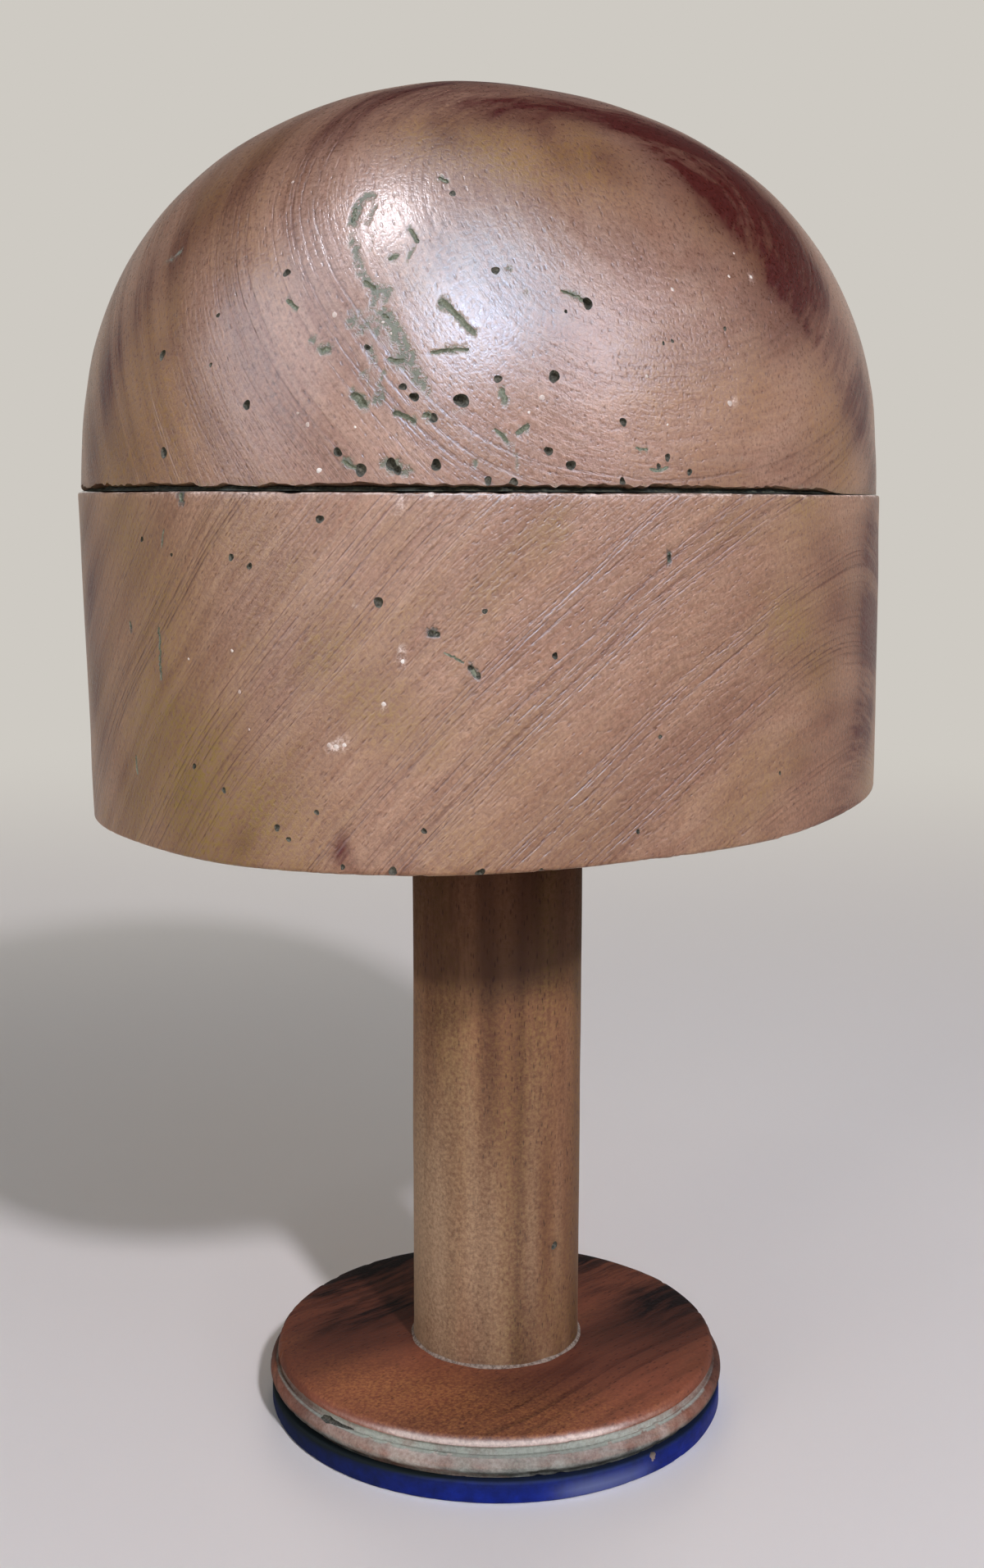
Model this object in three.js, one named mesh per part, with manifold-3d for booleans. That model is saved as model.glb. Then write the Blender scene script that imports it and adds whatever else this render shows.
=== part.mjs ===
// Hat block on its stand: a crown block of two hardwood boards, lifted off and turned on a loose peg,
// above a turned stem, a moulded base disc and a painted foot disc.
//
// Millimetres, +Z up. The origin lies on the stem's axis at the underside of the foot.
// +X is the brow end of the block, which is the narrower one, and Y runs across the block.

import * as THREE from 'three';
import { mergeVertices } from 'three/addons/utils/BufferGeometryUtils.js';
import Module from 'manifold-3d';

const manifold = await Module();
manifold.setup();

// Block, seen from above: an oval between an ellipse and a rectangle, drawn in at the brow.
const BLOCK_LENGTH = 196; // brow to back, at the joint between the two boards
const BLOCK_WIDTH = 157;
const OVAL_POWER = 2.33; // 2 is an ellipse, more is squarer
const BROW_TAPER = 0.06; // share of the width lost at the brow end and gained at the back

// Lower board, the straight band that a hat's side is blocked on.
const BAND_HEIGHT = 75.7;
const BAND_LEAN = 1.7; // how far the underside sits towards the brow, against the joint
const BAND_LOWER_ROUND = 1.2;
const BROW_RISE = 5.3; // how far the underside is planed up at the brow
const BROW_RISE_START = 22; // from this far before the stem's axis, clear of the stem
const BAND_UPPER_ROUND = 0.6;

// Upper board, the domed tip.
const CROWN_HEIGHT = 91.9;
const CROWN_SIDE_POWER = 2.42; // more keeps the lower side upright for longer
const CROWN_TIP_POWER = 2.11; // more flattens the tip
const CROWN_TIP_SHIFT = 4; // how far the tip's highest point lies towards the back
const CROWN_SETBACK = 0.9; // the upper board is this much smaller all round at the joint

// Joint between the boards, shrunk open at the edge on one side.
const JOINT_OPENING = 1.4;
const JOINT_OPENING_DEPTH = 8;
const JOINT_OPEN_SIDE = THREE.MathUtils.degToRad(-132); // middle of the open stretch, from +X
const JOINT_OPEN_REACH = THREE.MathUtils.degToRad(63); // open this far to each side of its middle
const JOINT_CLOSING_REACH = THREE.MathUtils.degToRad(14); // and closed over this angle beyond

// Dowels that hold the two boards together.
const CROWN_DOWEL_DIAMETER = 12;
const CROWN_DOWEL_LENGTH = 50; // half in each board
const CROWN_DOWEL_SPACING_X = 104;
const CROWN_DOWEL_SPACING_Y = 76;
const CROWN_DOWEL_CHAMFER = 1;
const DOWEL_END_ROOM = 1.5; // glue space past each end of a dowel

// Loose peg: it stands in the stem, turns there with the block, and the block lifts off it.
const PEG_DIAMETER = 25.4;
const PEG_IN_STEM = 46;
const PEG_IN_BLOCK = 50;
const PEG_END_ROOM = 2; // between the top of the peg and the end of the block's bore
const PEG_CHAMFER = 2;
const BORE_MOUTH_CHAMFER = 1;

// Stem, with a round tenon through the base disc, spread from below by a wedge.
const STEM_DIAMETER = 42.4;
const STEM_HEIGHT = 138; // base disc to block
const STEM_TOP_ROUND = 1;
const TENON_DIAMETER = 28;
const WEDGE_MOUTH_WIDTH = 4;
const WEDGE_TIP_WIDTH = 2;
const WEDGE_KERF_DEPTH = 9;
const WEDGE_END_INSET = 1; // the wedge is trimmed this far inside the tenon at each end

// Base disc: a turned edge with a rounded arris, a cove and a half-round bead.
const BASE_THICKNESS = 10;
const BASE_TOP_DIAMETER = 112;
const ARRIS_HEIGHT = 2.3;
const ARRIS_WIDTH = 1.6;
const COVE_HEIGHT = 2;
const COVE_DEPTH = 1.3;
const BEAD_HEIGHT = 4.5;
const BEAD_DIAMETER = 116;
const UNDERCUT_DIAMETER = 111;

// Foot disc, painted, held by countersunk wood screws from below.
const FOOT_THICKNESS = 5.5;
const FOOT_DIAMETER = 115;
const FOOT_EDGE_ROUND = 0.8;
const SCREW_COUNT = 4;
const SCREW_CIRCLE_DIAMETER = 84;
const SCREW_LENGTH = 11;
const SCREW_SHANK_DIAMETER = 4;
const SCREW_HEAD_DIAMETER = 8;
const SCREW_HEAD_HEIGHT = 2.4;
const SCREW_HEAD_RIM = 0.3; // straight edge of the head below its cone
const SCREW_POINT_LENGTH = 3;
const SCREW_SLOT_WIDTH = 1;
const SCREW_SLOT_DEPTH = 0.9;
const SCREW_RECESS = 0.4; // heads sit this far above the floor

const GLUED_GAP = 0.3; // round a piece that is glued or driven into its hole
const RUNNING_GAP = 0.3; // round the peg

// Fineness of the surfaces, in steps round the piece.
const BLOCK_STEPS = 80;
const CROWN_RINGS = 16;
const DISC_STEPS = 60;
const STEM_STEPS = 40;
const SMALL_STEPS = 16;
const ROUND_STEPS = 3; // steps in a quarter round of a moulding

const CUT_PAST = 1; // how far a cutting shape runs past the face that it opens

// Heights that the sizes above add up to.
const BASE_UNDERSIDE = FOOT_THICKNESS;
const BASE_TOP = BASE_UNDERSIDE + BASE_THICKNESS;
const STEM_TOP = BASE_TOP + STEM_HEIGHT;
const JOINT_PLANE = STEM_TOP + BAND_HEIGHT;

// Closed skin over a stack of rings of equal count, capped by a point at each end.
function skinOverRings(lowerPole, rings, upperPole) {
  const count = rings[0].length;
  const points = [lowerPole, ...rings.flat(), upperPole];
  const at = (ring, step) => 1 + ring * count + (step % count);
  const faces = [];
  for (let step = 0; step < count; step += 1) {
    faces.push(0, at(0, step + 1), at(0, step));
    for (let ring = 0; ring + 1 < rings.length; ring += 1) {
      faces.push(at(ring, step), at(ring, step + 1), at(ring + 1, step));
      faces.push(at(ring, step + 1), at(ring + 1, step + 1), at(ring + 1, step));
    }
    faces.push(at(rings.length - 1, step), at(rings.length - 1, step + 1), points.length - 1);
  }
  const geometry = new THREE.BufferGeometry().setFromPoints(points);
  geometry.setIndex(faces);
  return geometry;
}

// Solid of revolution about +Z from [radius, height] pairs, listed so that outer faces run upwards.
function turned(profile, steps) {
  const points = profile.map(([radius, height]) => new THREE.Vector2(radius, height));
  return new THREE.LatheGeometry(points, steps).rotateX(Math.PI / 2);
}

function toSolid(geometry) {
  const bare = geometry.clone();
  bare.deleteAttribute('normal');
  bare.deleteAttribute('uv');
  const merged = mergeVertices(bare, 1e-4);
  return new manifold.Manifold(new manifold.Mesh({
    numProp: 3,
    vertProperties: new Float32Array(merged.attributes.position.array),
    triVerts: new Uint32Array(merged.index.array),
  }));
}

// The first geometry with all the others cut out of it.
function cut(geometry, tools) {
  let solid = toSolid(geometry);
  for (const tool of tools) {
    solid = solid.subtract(toSolid(tool));
  }
  const mesh = solid.getMesh();
  const result = new THREE.BufferGeometry();
  result.setAttribute('position', new THREE.BufferAttribute(mesh.vertProperties, 3));
  result.setIndex(new THREE.BufferAttribute(mesh.triVerts, 1));
  return result;
}

// Ring of the block's plan at one height; scale shrinks it towards its centre.
function ovalRing({ halfLength, halfWidth, centreX, scale, heightAt }) {
  const ring = [];
  for (let step = 0; step < BLOCK_STEPS; step += 1) {
    const angle = (2 * Math.PI * step) / BLOCK_STEPS;
    const reach = (Math.abs(Math.cos(angle)) / halfLength) ** OVAL_POWER
      + (Math.abs(Math.sin(angle)) / halfWidth) ** OVAL_POWER;
    const radius = scale / reach ** (1 / OVAL_POWER);
    const x = radius * Math.cos(angle);
    const y = radius * Math.sin(angle) * (1 - (BROW_TAPER * x) / halfLength);
    ring.push(new THREE.Vector3(centreX + x, y, heightAt(angle)));
  }
  return ring;
}

// Vertex radius of a faceted bore that clears a round piece of this radius at every angle.
function boreRadius(pieceRadius, gap, steps) {
  return (pieceRadius + gap) / Math.cos(Math.PI / steps);
}

// Straight round piece with both ends chamfered, standing from one height to another.
function pegProfile(radius, low, high, chamfer) {
  return [
    [0, low], [radius - chamfer, low], [radius, low + chamfer],
    [radius, high - chamfer], [radius - chamfer, high], [0, high],
  ];
}

function crownDowelPlaces() {
  const x = CROWN_DOWEL_SPACING_X / 2;
  const y = CROWN_DOWEL_SPACING_Y / 2;
  return [[x, y], [-x, y], [-x, -y], [x, -y]];
}

function crownDowelHoles() {
  const radius = boreRadius(CROWN_DOWEL_DIAMETER / 2, GLUED_GAP, SMALL_STEPS);
  const reach = CROWN_DOWEL_LENGTH / 2 + DOWEL_END_ROOM;
  return crownDowelPlaces().map(([x, y]) => (
    turned([[0, -reach], [radius, -reach], [radius, reach], [0, reach]], SMALL_STEPS)
      .translate(x, y, JOINT_PLANE)
  ));
}

// Half-length, half-width and centre of the band's plan at a share of its height.
function bandPlan(share) {
  return {
    halfLength: BLOCK_LENGTH / 2,
    halfWidth: BLOCK_WIDTH / 2,
    centreX: BAND_LEAN * (0.5 - share),
  };
}

// Height by which the upper board's edge stands off the lower one in a direction.
function jointOpening(angle) {
  const away = Math.acos(THREE.MathUtils.clamp(Math.cos(angle - JOINT_OPEN_SIDE), -1, 1));
  const closed = THREE.MathUtils.smoothstep(
    away,
    JOINT_OPEN_REACH,
    JOINT_OPEN_REACH + JOINT_CLOSING_REACH,
  );
  return JOINT_OPENING * (1 - closed);
}

function crownTopGeometry() {
  const foot = bandPlan(1);
  const halfLength = foot.halfLength - CROWN_SETBACK;
  const halfWidth = foot.halfWidth - CROWN_SETBACK;
  const ringAt = (scale, heightAt) => ovalRing({
    halfLength, halfWidth, scale, heightAt, centreX: foot.centreX - CROWN_TIP_SHIFT * (1 - scale),
  });
  const rings = [
    ringAt(1 - JOINT_OPENING_DEPTH / halfWidth, () => JOINT_PLANE),
    ringAt(1, (angle) => JOINT_PLANE + jointOpening(angle)),
  ];
  for (let ring = 1; ring < CROWN_RINGS; ring += 1) {
    const rise = Math.sin((ring / CROWN_RINGS) * (Math.PI / 2));
    const scale = (1 - rise ** CROWN_SIDE_POWER) ** (1 / CROWN_TIP_POWER);
    rings.push(ringAt(scale, () => JOINT_PLANE + CROWN_HEIGHT * rise));
  }
  const tipX = foot.centreX - CROWN_TIP_SHIFT;
  const blank = skinOverRings(
    new THREE.Vector3(foot.centreX, 0, JOINT_PLANE),
    rings,
    new THREE.Vector3(tipX, 0, JOINT_PLANE + CROWN_HEIGHT),
  );
  return cut(blank, crownDowelHoles());
}

// Wedge under the brow end, whose upper face is the slope that the underside is planed to.
function browPlaning() {
  const browX = BLOCK_LENGTH / 2;
  const reach = browX + BAND_LEAN + CUT_PAST;
  const rise = (BROW_RISE * (reach - BROW_RISE_START)) / (browX - BROW_RISE_START);
  const outline = new THREE.Shape([
    new THREE.Vector2(BROW_RISE_START, 0), new THREE.Vector2(BROW_RISE_START, -CUT_PAST),
    new THREE.Vector2(reach, -CUT_PAST), new THREE.Vector2(reach, rise),
  ]);
  const length = BLOCK_WIDTH + 2 * CUT_PAST;
  return new THREE.ExtrudeGeometry(outline, { depth: length, bevelEnabled: false })
    .translate(0, 0, -length / 2)
    .rotateX(Math.PI / 2)
    .translate(0, 0, STEM_TOP);
}

function crownBandGeometry() {
  const halfWidth = BLOCK_WIDTH / 2;
  const ringAt = (height, inset) => ovalRing({
    ...bandPlan(height / BAND_HEIGHT),
    scale: 1 - inset / halfWidth,
    heightAt: () => STEM_TOP + height,
  });
  const rings = [
    ringAt(0, BAND_LOWER_ROUND),
    ringAt(BAND_LOWER_ROUND, 0),
    ringAt(BAND_HEIGHT / 2, 0),
    ringAt(BAND_HEIGHT - BAND_UPPER_ROUND, 0),
    ringAt(BAND_HEIGHT, BAND_UPPER_ROUND),
  ];
  const blank = skinOverRings(
    new THREE.Vector3(0, 0, STEM_TOP),
    rings,
    new THREE.Vector3(0, 0, JOINT_PLANE),
  );
  const boreR = boreRadius(PEG_DIAMETER / 2, RUNNING_GAP, STEM_STEPS);
  const mouthR = boreR + BORE_MOUTH_CHAMFER;
  const boreEnd = STEM_TOP + PEG_IN_BLOCK + PEG_END_ROOM;
  const bore = turned([
    [0, STEM_TOP - BORE_MOUTH_CHAMFER], [mouthR + BORE_MOUTH_CHAMFER, STEM_TOP - BORE_MOUTH_CHAMFER],
    [boreR, STEM_TOP + BORE_MOUTH_CHAMFER], [boreR, boreEnd], [0, boreEnd],
  ], STEM_STEPS);
  return cut(blank, [browPlaning(), bore, ...crownDowelHoles()]);
}

function crownDowelGeometry() {
  const reach = CROWN_DOWEL_LENGTH / 2;
  const profile = pegProfile(CROWN_DOWEL_DIAMETER / 2, -reach, reach, CROWN_DOWEL_CHAMFER);
  return turned(profile, SMALL_STEPS);
}

function swivelPegGeometry() {
  const profile = pegProfile(
    PEG_DIAMETER / 2,
    STEM_TOP - PEG_IN_STEM,
    STEM_TOP + PEG_IN_BLOCK,
    PEG_CHAMFER,
  );
  return turned(profile, STEM_STEPS);
}

// Tapered bar along Y, wide below and narrow above: the wedge, or the kerf for it when grown by a gap.
function wedgeBar({ gap, length, below }) {
  const mouth = WEDGE_MOUTH_WIDTH / 2 + gap;
  const tip = WEDGE_TIP_WIDTH / 2 + gap;
  const top = WEDGE_KERF_DEPTH + gap;
  const outline = new THREE.Shape([
    new THREE.Vector2(-mouth, -below), new THREE.Vector2(mouth, -below),
    new THREE.Vector2(tip, top), new THREE.Vector2(-tip, top),
  ]);
  return new THREE.ExtrudeGeometry(outline, { depth: length, bevelEnabled: false })
    .translate(0, 0, -length / 2)
    .rotateX(Math.PI / 2)
    .translate(0, 0, BASE_UNDERSIDE);
}

function stemWedgeGeometry() {
  return wedgeBar({ gap: 0, length: TENON_DIAMETER - 2 * WEDGE_END_INSET, below: 0 });
}

function wedgeKerf() {
  return wedgeBar({ gap: GLUED_GAP, length: TENON_DIAMETER, below: CUT_PAST });
}

function stemGeometry() {
  const radius = STEM_DIAMETER / 2;
  const tenonR = TENON_DIAMETER / 2;
  const boreR = boreRadius(PEG_DIAMETER / 2, RUNNING_GAP, STEM_STEPS);
  const boreFloor = STEM_TOP - PEG_IN_STEM;
  const blank = turned([
    [0, BASE_UNDERSIDE], [tenonR, BASE_UNDERSIDE], [tenonR, BASE_TOP], [radius, BASE_TOP],
    [radius, STEM_TOP - STEM_TOP_ROUND], [radius - STEM_TOP_ROUND, STEM_TOP],
    [boreR + BORE_MOUTH_CHAMFER, STEM_TOP], [boreR, STEM_TOP - BORE_MOUTH_CHAMFER],
    [boreR, boreFloor], [0, boreFloor],
  ], STEM_STEPS);
  return cut(blank, [wedgeKerf()]);
}

// Points of the base disc's moulded edge, from its underside up to its top face.
function baseEdge() {
  const topR = BASE_TOP_DIAMETER / 2;
  const beadR = BEAD_DIAMETER / 2;
  const undercutR = UNDERCUT_DIAMETER / 2;
  const beadTop = BASE_TOP - ARRIS_HEIGHT - COVE_HEIGHT;
  const beadMiddle = beadTop - BEAD_HEIGHT / 2;
  const beadInner = topR - COVE_DEPTH;
  const edge = [[undercutR, BASE_UNDERSIDE], [undercutR, beadTop - BEAD_HEIGHT]];
  for (let step = 1; step < 2 * ROUND_STEPS; step += 1) {
    const turn = (step / (2 * ROUND_STEPS) - 0.5) * Math.PI;
    const root = turn < 0 ? undercutR : beadInner;
    edge.push([
      root + (beadR - root) * Math.cos(turn),
      beadMiddle + (BEAD_HEIGHT / 2) * Math.sin(turn),
    ]);
  }
  edge.push([beadInner, beadTop], [beadInner, beadTop + COVE_HEIGHT]);
  for (let step = 0; step <= ROUND_STEPS; step += 1) {
    const turn = (step / ROUND_STEPS) * (Math.PI / 2);
    edge.push([
      topR - ARRIS_WIDTH * (1 - Math.cos(turn)),
      BASE_TOP - ARRIS_HEIGHT * (1 - Math.sin(turn)),
    ]);
  }
  return edge;
}

function screwPlaces() {
  return Array.from({ length: SCREW_COUNT }, (_, index) => {
    const angle = (2 * Math.PI * (index + 0.5)) / SCREW_COUNT;
    return [Math.cos(angle), Math.sin(angle)].map((part) => (part * SCREW_CIRCLE_DIAMETER) / 2);
  });
}

// Countersunk screw, point up, from a height; or the hole for it when grown by a gap.
function screwBody(gap, low) {
  const headR = SCREW_HEAD_DIAMETER / 2 + gap;
  const shankR = SCREW_SHANK_DIAMETER / 2 + gap;
  const rimTop = SCREW_RECESS + SCREW_HEAD_RIM + gap;
  const headTop = SCREW_RECESS + SCREW_HEAD_HEIGHT + gap;
  const tip = SCREW_RECESS + SCREW_LENGTH + gap;
  return turned([
    [0, low], [headR, low], [headR, rimTop], [shankR, headTop],
    [shankR, tip - SCREW_POINT_LENGTH], [0, tip],
  ], SMALL_STEPS);
}

function screwGeometry() {
  const slotLength = SCREW_HEAD_DIAMETER + 2 * CUT_PAST;
  const slot = new THREE.BoxGeometry(slotLength, SCREW_SLOT_WIDTH, 2 * SCREW_SLOT_DEPTH)
    .translate(0, 0, SCREW_RECESS);
  return cut(screwBody(0, SCREW_RECESS), [slot]);
}

function screwHoles() {
  return screwPlaces().map(([x, y]) => screwBody(GLUED_GAP, -CUT_PAST).translate(x, y, 0));
}

function baseDiscGeometry() {
  const holeR = boreRadius(TENON_DIAMETER / 2, GLUED_GAP, STEM_STEPS);
  const outline = [[holeR, BASE_UNDERSIDE], ...baseEdge(), [holeR, BASE_TOP], [holeR, BASE_UNDERSIDE]];
  return cut(turned(outline, DISC_STEPS), screwHoles());
}

function footDiscGeometry() {
  const radius = FOOT_DIAMETER / 2;
  const blank = turned([
    [0, 0], [radius - FOOT_EDGE_ROUND, 0], [radius, FOOT_EDGE_ROUND],
    [radius, FOOT_THICKNESS - FOOT_EDGE_ROUND], [radius - FOOT_EDGE_ROUND, FOOT_THICKNESS],
    [0, FOOT_THICKNESS],
  ], DISC_STEPS);
  return cut(blank, screwHoles());
}

const FINISHES = {
  crown: { color: '#93694d', roughness: 0.4, metalness: 0 },
  band: { color: '#9c7556', roughness: 0.45, metalness: 0 },
  stem: { color: '#77533a', roughness: 0.5, metalness: 0 },
  base: { color: '#5f3527', roughness: 0.4, metalness: 0 },
  bluePaint: { color: '#26347e', roughness: 0.45, metalness: 0 },
  bareWood: { color: '#c9a878', roughness: 0.8, metalness: 0 },
  steel: { color: '#8d8a84', roughness: 0.4, metalness: 1 },
};

function piece(name, geometry, finish, place = [0, 0, 0]) {
  const mesh = new THREE.Mesh(geometry, new THREE.MeshStandardMaterial(FINISHES[finish]));
  mesh.name = name;
  mesh.position.set(...place);
  return mesh;
}

const stand = new THREE.Group();
stand.add(
  piece('foot_disc', footDiscGeometry(), 'bluePaint'),
  piece('base_disc', baseDiscGeometry(), 'base'),
  piece('stem', stemGeometry(), 'stem'),
  piece('stem_wedge', stemWedgeGeometry(), 'bareWood'),
);
screwPlaces().forEach(([x, y], index) => {
  stand.add(piece(`foot_screw_${index + 1}`, screwGeometry(), 'steel', [x, y, 0]));
});

const block = new THREE.Group();
block.add(
  piece('crown_band', crownBandGeometry(), 'band'),
  piece('crown_top', crownTopGeometry(), 'crown'),
);
crownDowelPlaces().forEach(([x, y], index) => {
  block.add(piece(`crown_dowel_${index + 1}`, crownDowelGeometry(), 'bareWood', [x, y, JOINT_PLANE]));
});

const hatBlock = new THREE.Group();
hatBlock.add(stand, piece('swivel_peg', swivelPegGeometry(), 'bareWood'), block);

export default hatBlock;
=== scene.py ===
"""Looks of a hat block on its stand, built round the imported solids.

The block is two carved boards with an open joint between them, eaten by woodworm. It lifts off a loose
peg in a turned stem, which stands in a moulded base disc on a thin disc painted blue. Lengths are in
millimetres, in the frame of the solids: +Z up along the stem, +X towards the brow end.
"""

from __future__ import annotations

import logging
import math
from collections.abc import Callable
from dataclasses import dataclass, field
from enum import Enum
from functools import partial
from itertools import product

import bpy
import numpy as np
from mathutils import Matrix, Vector
from mathutils.bvhtree import BVHTree


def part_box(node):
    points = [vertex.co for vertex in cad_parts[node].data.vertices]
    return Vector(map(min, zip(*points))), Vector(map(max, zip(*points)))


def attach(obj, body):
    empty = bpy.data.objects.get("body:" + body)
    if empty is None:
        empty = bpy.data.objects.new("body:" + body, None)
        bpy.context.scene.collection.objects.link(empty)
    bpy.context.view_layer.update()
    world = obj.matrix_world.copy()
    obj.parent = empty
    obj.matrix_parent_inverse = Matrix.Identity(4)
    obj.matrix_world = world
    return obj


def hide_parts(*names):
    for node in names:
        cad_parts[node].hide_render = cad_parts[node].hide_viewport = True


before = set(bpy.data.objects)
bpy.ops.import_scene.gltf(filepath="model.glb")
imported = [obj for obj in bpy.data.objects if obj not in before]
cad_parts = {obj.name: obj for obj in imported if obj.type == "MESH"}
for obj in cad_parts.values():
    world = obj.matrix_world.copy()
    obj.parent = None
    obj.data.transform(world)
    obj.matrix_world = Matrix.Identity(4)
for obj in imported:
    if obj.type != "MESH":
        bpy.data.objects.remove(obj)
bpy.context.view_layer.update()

MM = 0.001
TURN = 2 * math.pi
LOG = logging.getLogger("hat_block")

Array = np.ndarray
Material = bpy.types.Material
Piece = bpy.types.Object
Rng = np.random.Generator
Socket = bpy.types.NodeSocket
Pixel = tuple[float, float]
# A place with a radius in millimetres and a strength, and the same by pixel of the photograph.
Spot = tuple[Array, float, float]
PixelSpot = tuple[float, float, float, float]


class Rider(Enum):
    """Bodies of the frame that a piece can ride on."""

    STAND = "stand"
    PEG = "peg"
    BLOCK = "block"


class Slot(Enum):
    """Material slots of the record."""

    CROWN = "crown_wood"
    BAND = "band_wood"
    STEM = "stem_wood"
    BASE = "base_wood"
    PAINT = "blue_painted_wood"
    BEECH = "bare_beech"
    STEEL = "screw_steel"


class Mark(Enum):
    """Vertex attributes that the finishes read, each from 0 to 1."""

    # Besides heartwood, amber, wear and grime, these marks carry painted shade, painted light, painted
    # highlights and a painted shadow.
    HEART = "heart"
    AMBER = "amber"
    WEAR = "wear"
    GRIME = "grime"


def span(node: str) -> Array:
    """Lowest and highest corner of a solid, in millimetres."""
    return np.array(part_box(node)) / MM


FOOT_TOP, BASE_TOP, STEM_TOP, JOINT, CROWN_TOP = (
    span(node)[1, 2] for node in ("foot_disc", "base_disc", "stem", "crown_band", "crown_top")
)
PEG = span("swivel_peg")
PEG_RADIUS = (PEG[1, 0] - PEG[0, 0]) / 2
CLEARANCE = 0.3


def unit(vector: Array) -> Array:
    """Vectors of length 1 along the last axis."""
    return vector / np.linalg.norm(vector, axis=-1, keepdims=True)


def off_axis(points: Array) -> Array:
    """Distance of points from the stem's axis."""
    return np.hypot(points[..., 0], points[..., 1])


def bell(distance: Array, width: float) -> Array:
    """exp(-(distance / width) ** 2)."""
    return np.exp(-((distance / width) ** 2))


def decay(distance: Array, reach: float) -> Array:
    """exp(-distance / reach), and 1 where the distance is negative."""
    return np.exp(-(distance / reach).clip(0))


def eased(share: Array) -> Array:
    """Smooth step t * t * (3 - 2 * t) of a share from 0 to 1."""
    return share * share * (3 - 2 * share)


def lattice_noise(points: Array, cell: float, seed: int) -> Array:
    """Smooth random field from -1 to 1: seeded values at a cell's corners, blended by smooth steps.

    Args:
        points: array whose last axis is x, y, z.
        cell: size of a cell.
        seed: seed of the random values.

    Returns:
        Array of the points' shape without its last axis.
    """
    size = 32
    table = np.random.default_rng(seed).uniform(-1.0, 1.0, (size, size, size))
    scaled = np.asarray(points, float) / cell
    base = np.floor(scaled).astype(int)
    share = eased(scaled - base)
    total = np.zeros(scaled.shape[:-1])
    for corner in product((0, 1), repeat=3):
        weight = np.prod(np.where(np.array(corner) == 1, share, 1 - share), axis=-1)
        index = (base + corner) % size
        total += weight * table[index[..., 0], index[..., 1], index[..., 2]]
    return total


class Seeded:
    """What is made with a seed, which gives each of its random fields one by number."""

    seed: int
    hand_waver: float

    def noise(self, points: Array, cell: float, number: int = 0) -> Array:
        """Random field of this number, with cells of this size."""
        return lattice_noise(points, cell, self.seed + number)

    def stray(self, points: Array, cells: Pixel) -> Array:
        """How far hand work strays inwards: noise in cells of two sizes, the second half as strong."""
        uneven = self.noise(points, cells[0]) + 0.5 * self.noise(points, cells[1], 1)
        return self.hand_waver * (uneven - 1.2)

    def knocks(self, points: Array, cell: float, number: int, rare: float, deep: float) -> Array:
        """Depth of knocks and chips: deep * (noise - rare), where the noise is above rare."""
        return deep * np.clip(self.noise(points, cell, number) - rare, 0, 1)


def ring_normals(rings: Array) -> Array:
    """Outward normals of a stack of rings: step round the ring crossed with step up the stack."""
    around = np.roll(rings, -1, axis=1) - np.roll(rings, 1, axis=1)
    return unit(np.cross(around, np.gradient(rings, axis=0)) + 1e-12)


def pushed(rings: Array, reach: Array) -> Array:
    """Rings moved along their outward normals, each point by its reach."""
    return rings + ring_normals(rings) * reach[..., None]


def raised(plan: Array, height: Array | float) -> Array:
    """Points (x, y, height) over the points (x, y) of a plan."""
    return np.concatenate([plan, np.broadcast_to(height, plan.shape[:-1])[..., None]], axis=-1)


def lathe_rings(profile: Array, columns: int) -> Array:
    """Rings of a turned piece: (r cos a, r sin a, z) for each profile point and each angle.

    Args:
        profile: array of radius and height, listed so that outer faces run upwards.
        columns: number of steps round the axis.

    Returns:
        Array (profile points, columns, 3).
    """
    angle = np.arange(columns) * TURN / columns
    radius, height = np.asarray(profile, float).T[:, :, None]
    return raised(np.stack([radius * np.cos(angle), radius * np.sin(angle)], axis=-1), height)


def refined(profile: list[Pixel], step: float) -> Array:
    """Adds points to a profile so that none of its straight stretches is longer than a step.

    Args:
        profile: radius and height of each corner.
        step: greatest length of a stretch.

    Returns:
        Array (points, 2).
    """
    points = [np.array(profile[0], float)]
    for start, end in zip(profile[:-1], profile[1:]):
        start, end = np.array(start, float), np.array(end, float)
        count = max(1, math.ceil(np.linalg.norm(end - start) / step))
        points.extend(start + (end - start) * part / count for part in range(1, count + 1))
    return np.array(points)


def quarter_round(centre: Pixel, reach: Pixel, first: float, last: float, steps: int) -> list[Pixel]:
    """Profile points on an ellipse: centre + reach * (cos t, sin t) for t from first to last, in turns."""
    turns = np.linspace(first, last, steps + 1) * TURN
    return [(centre[0] + reach[0] * math.cos(t), centre[1] + reach[1] * math.sin(t)) for t in turns]


def wrapped(rings: Array, closed: bool) -> list[list[int]]:
    """Quads of a stack of rings, each from a point to the next one round and the ones above both.

    Args:
        rings: array (rows, columns, 3), whose last column joins the first.
        closed: True if the last row joins the first too.

    Returns:
        The quads' vertex numbers.
    """
    index = np.arange(rings[..., 0].size).reshape(rings.shape[:2])
    steps = ((0, 0), (0, -1), (-1, -1), (-1, 0))
    quads = np.stack([np.roll(index, step, (0, 1)) for step in steps], axis=-1)
    return (quads if closed else quads[:-1]).reshape(-1, 4).tolist()


def placed(name: str, data: bpy.types.ID) -> Piece:
    """New object with this name and data, linked to the scene."""
    piece = bpy.data.objects.new(name, data)
    bpy.context.scene.collection.objects.link(piece)
    return piece


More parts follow.
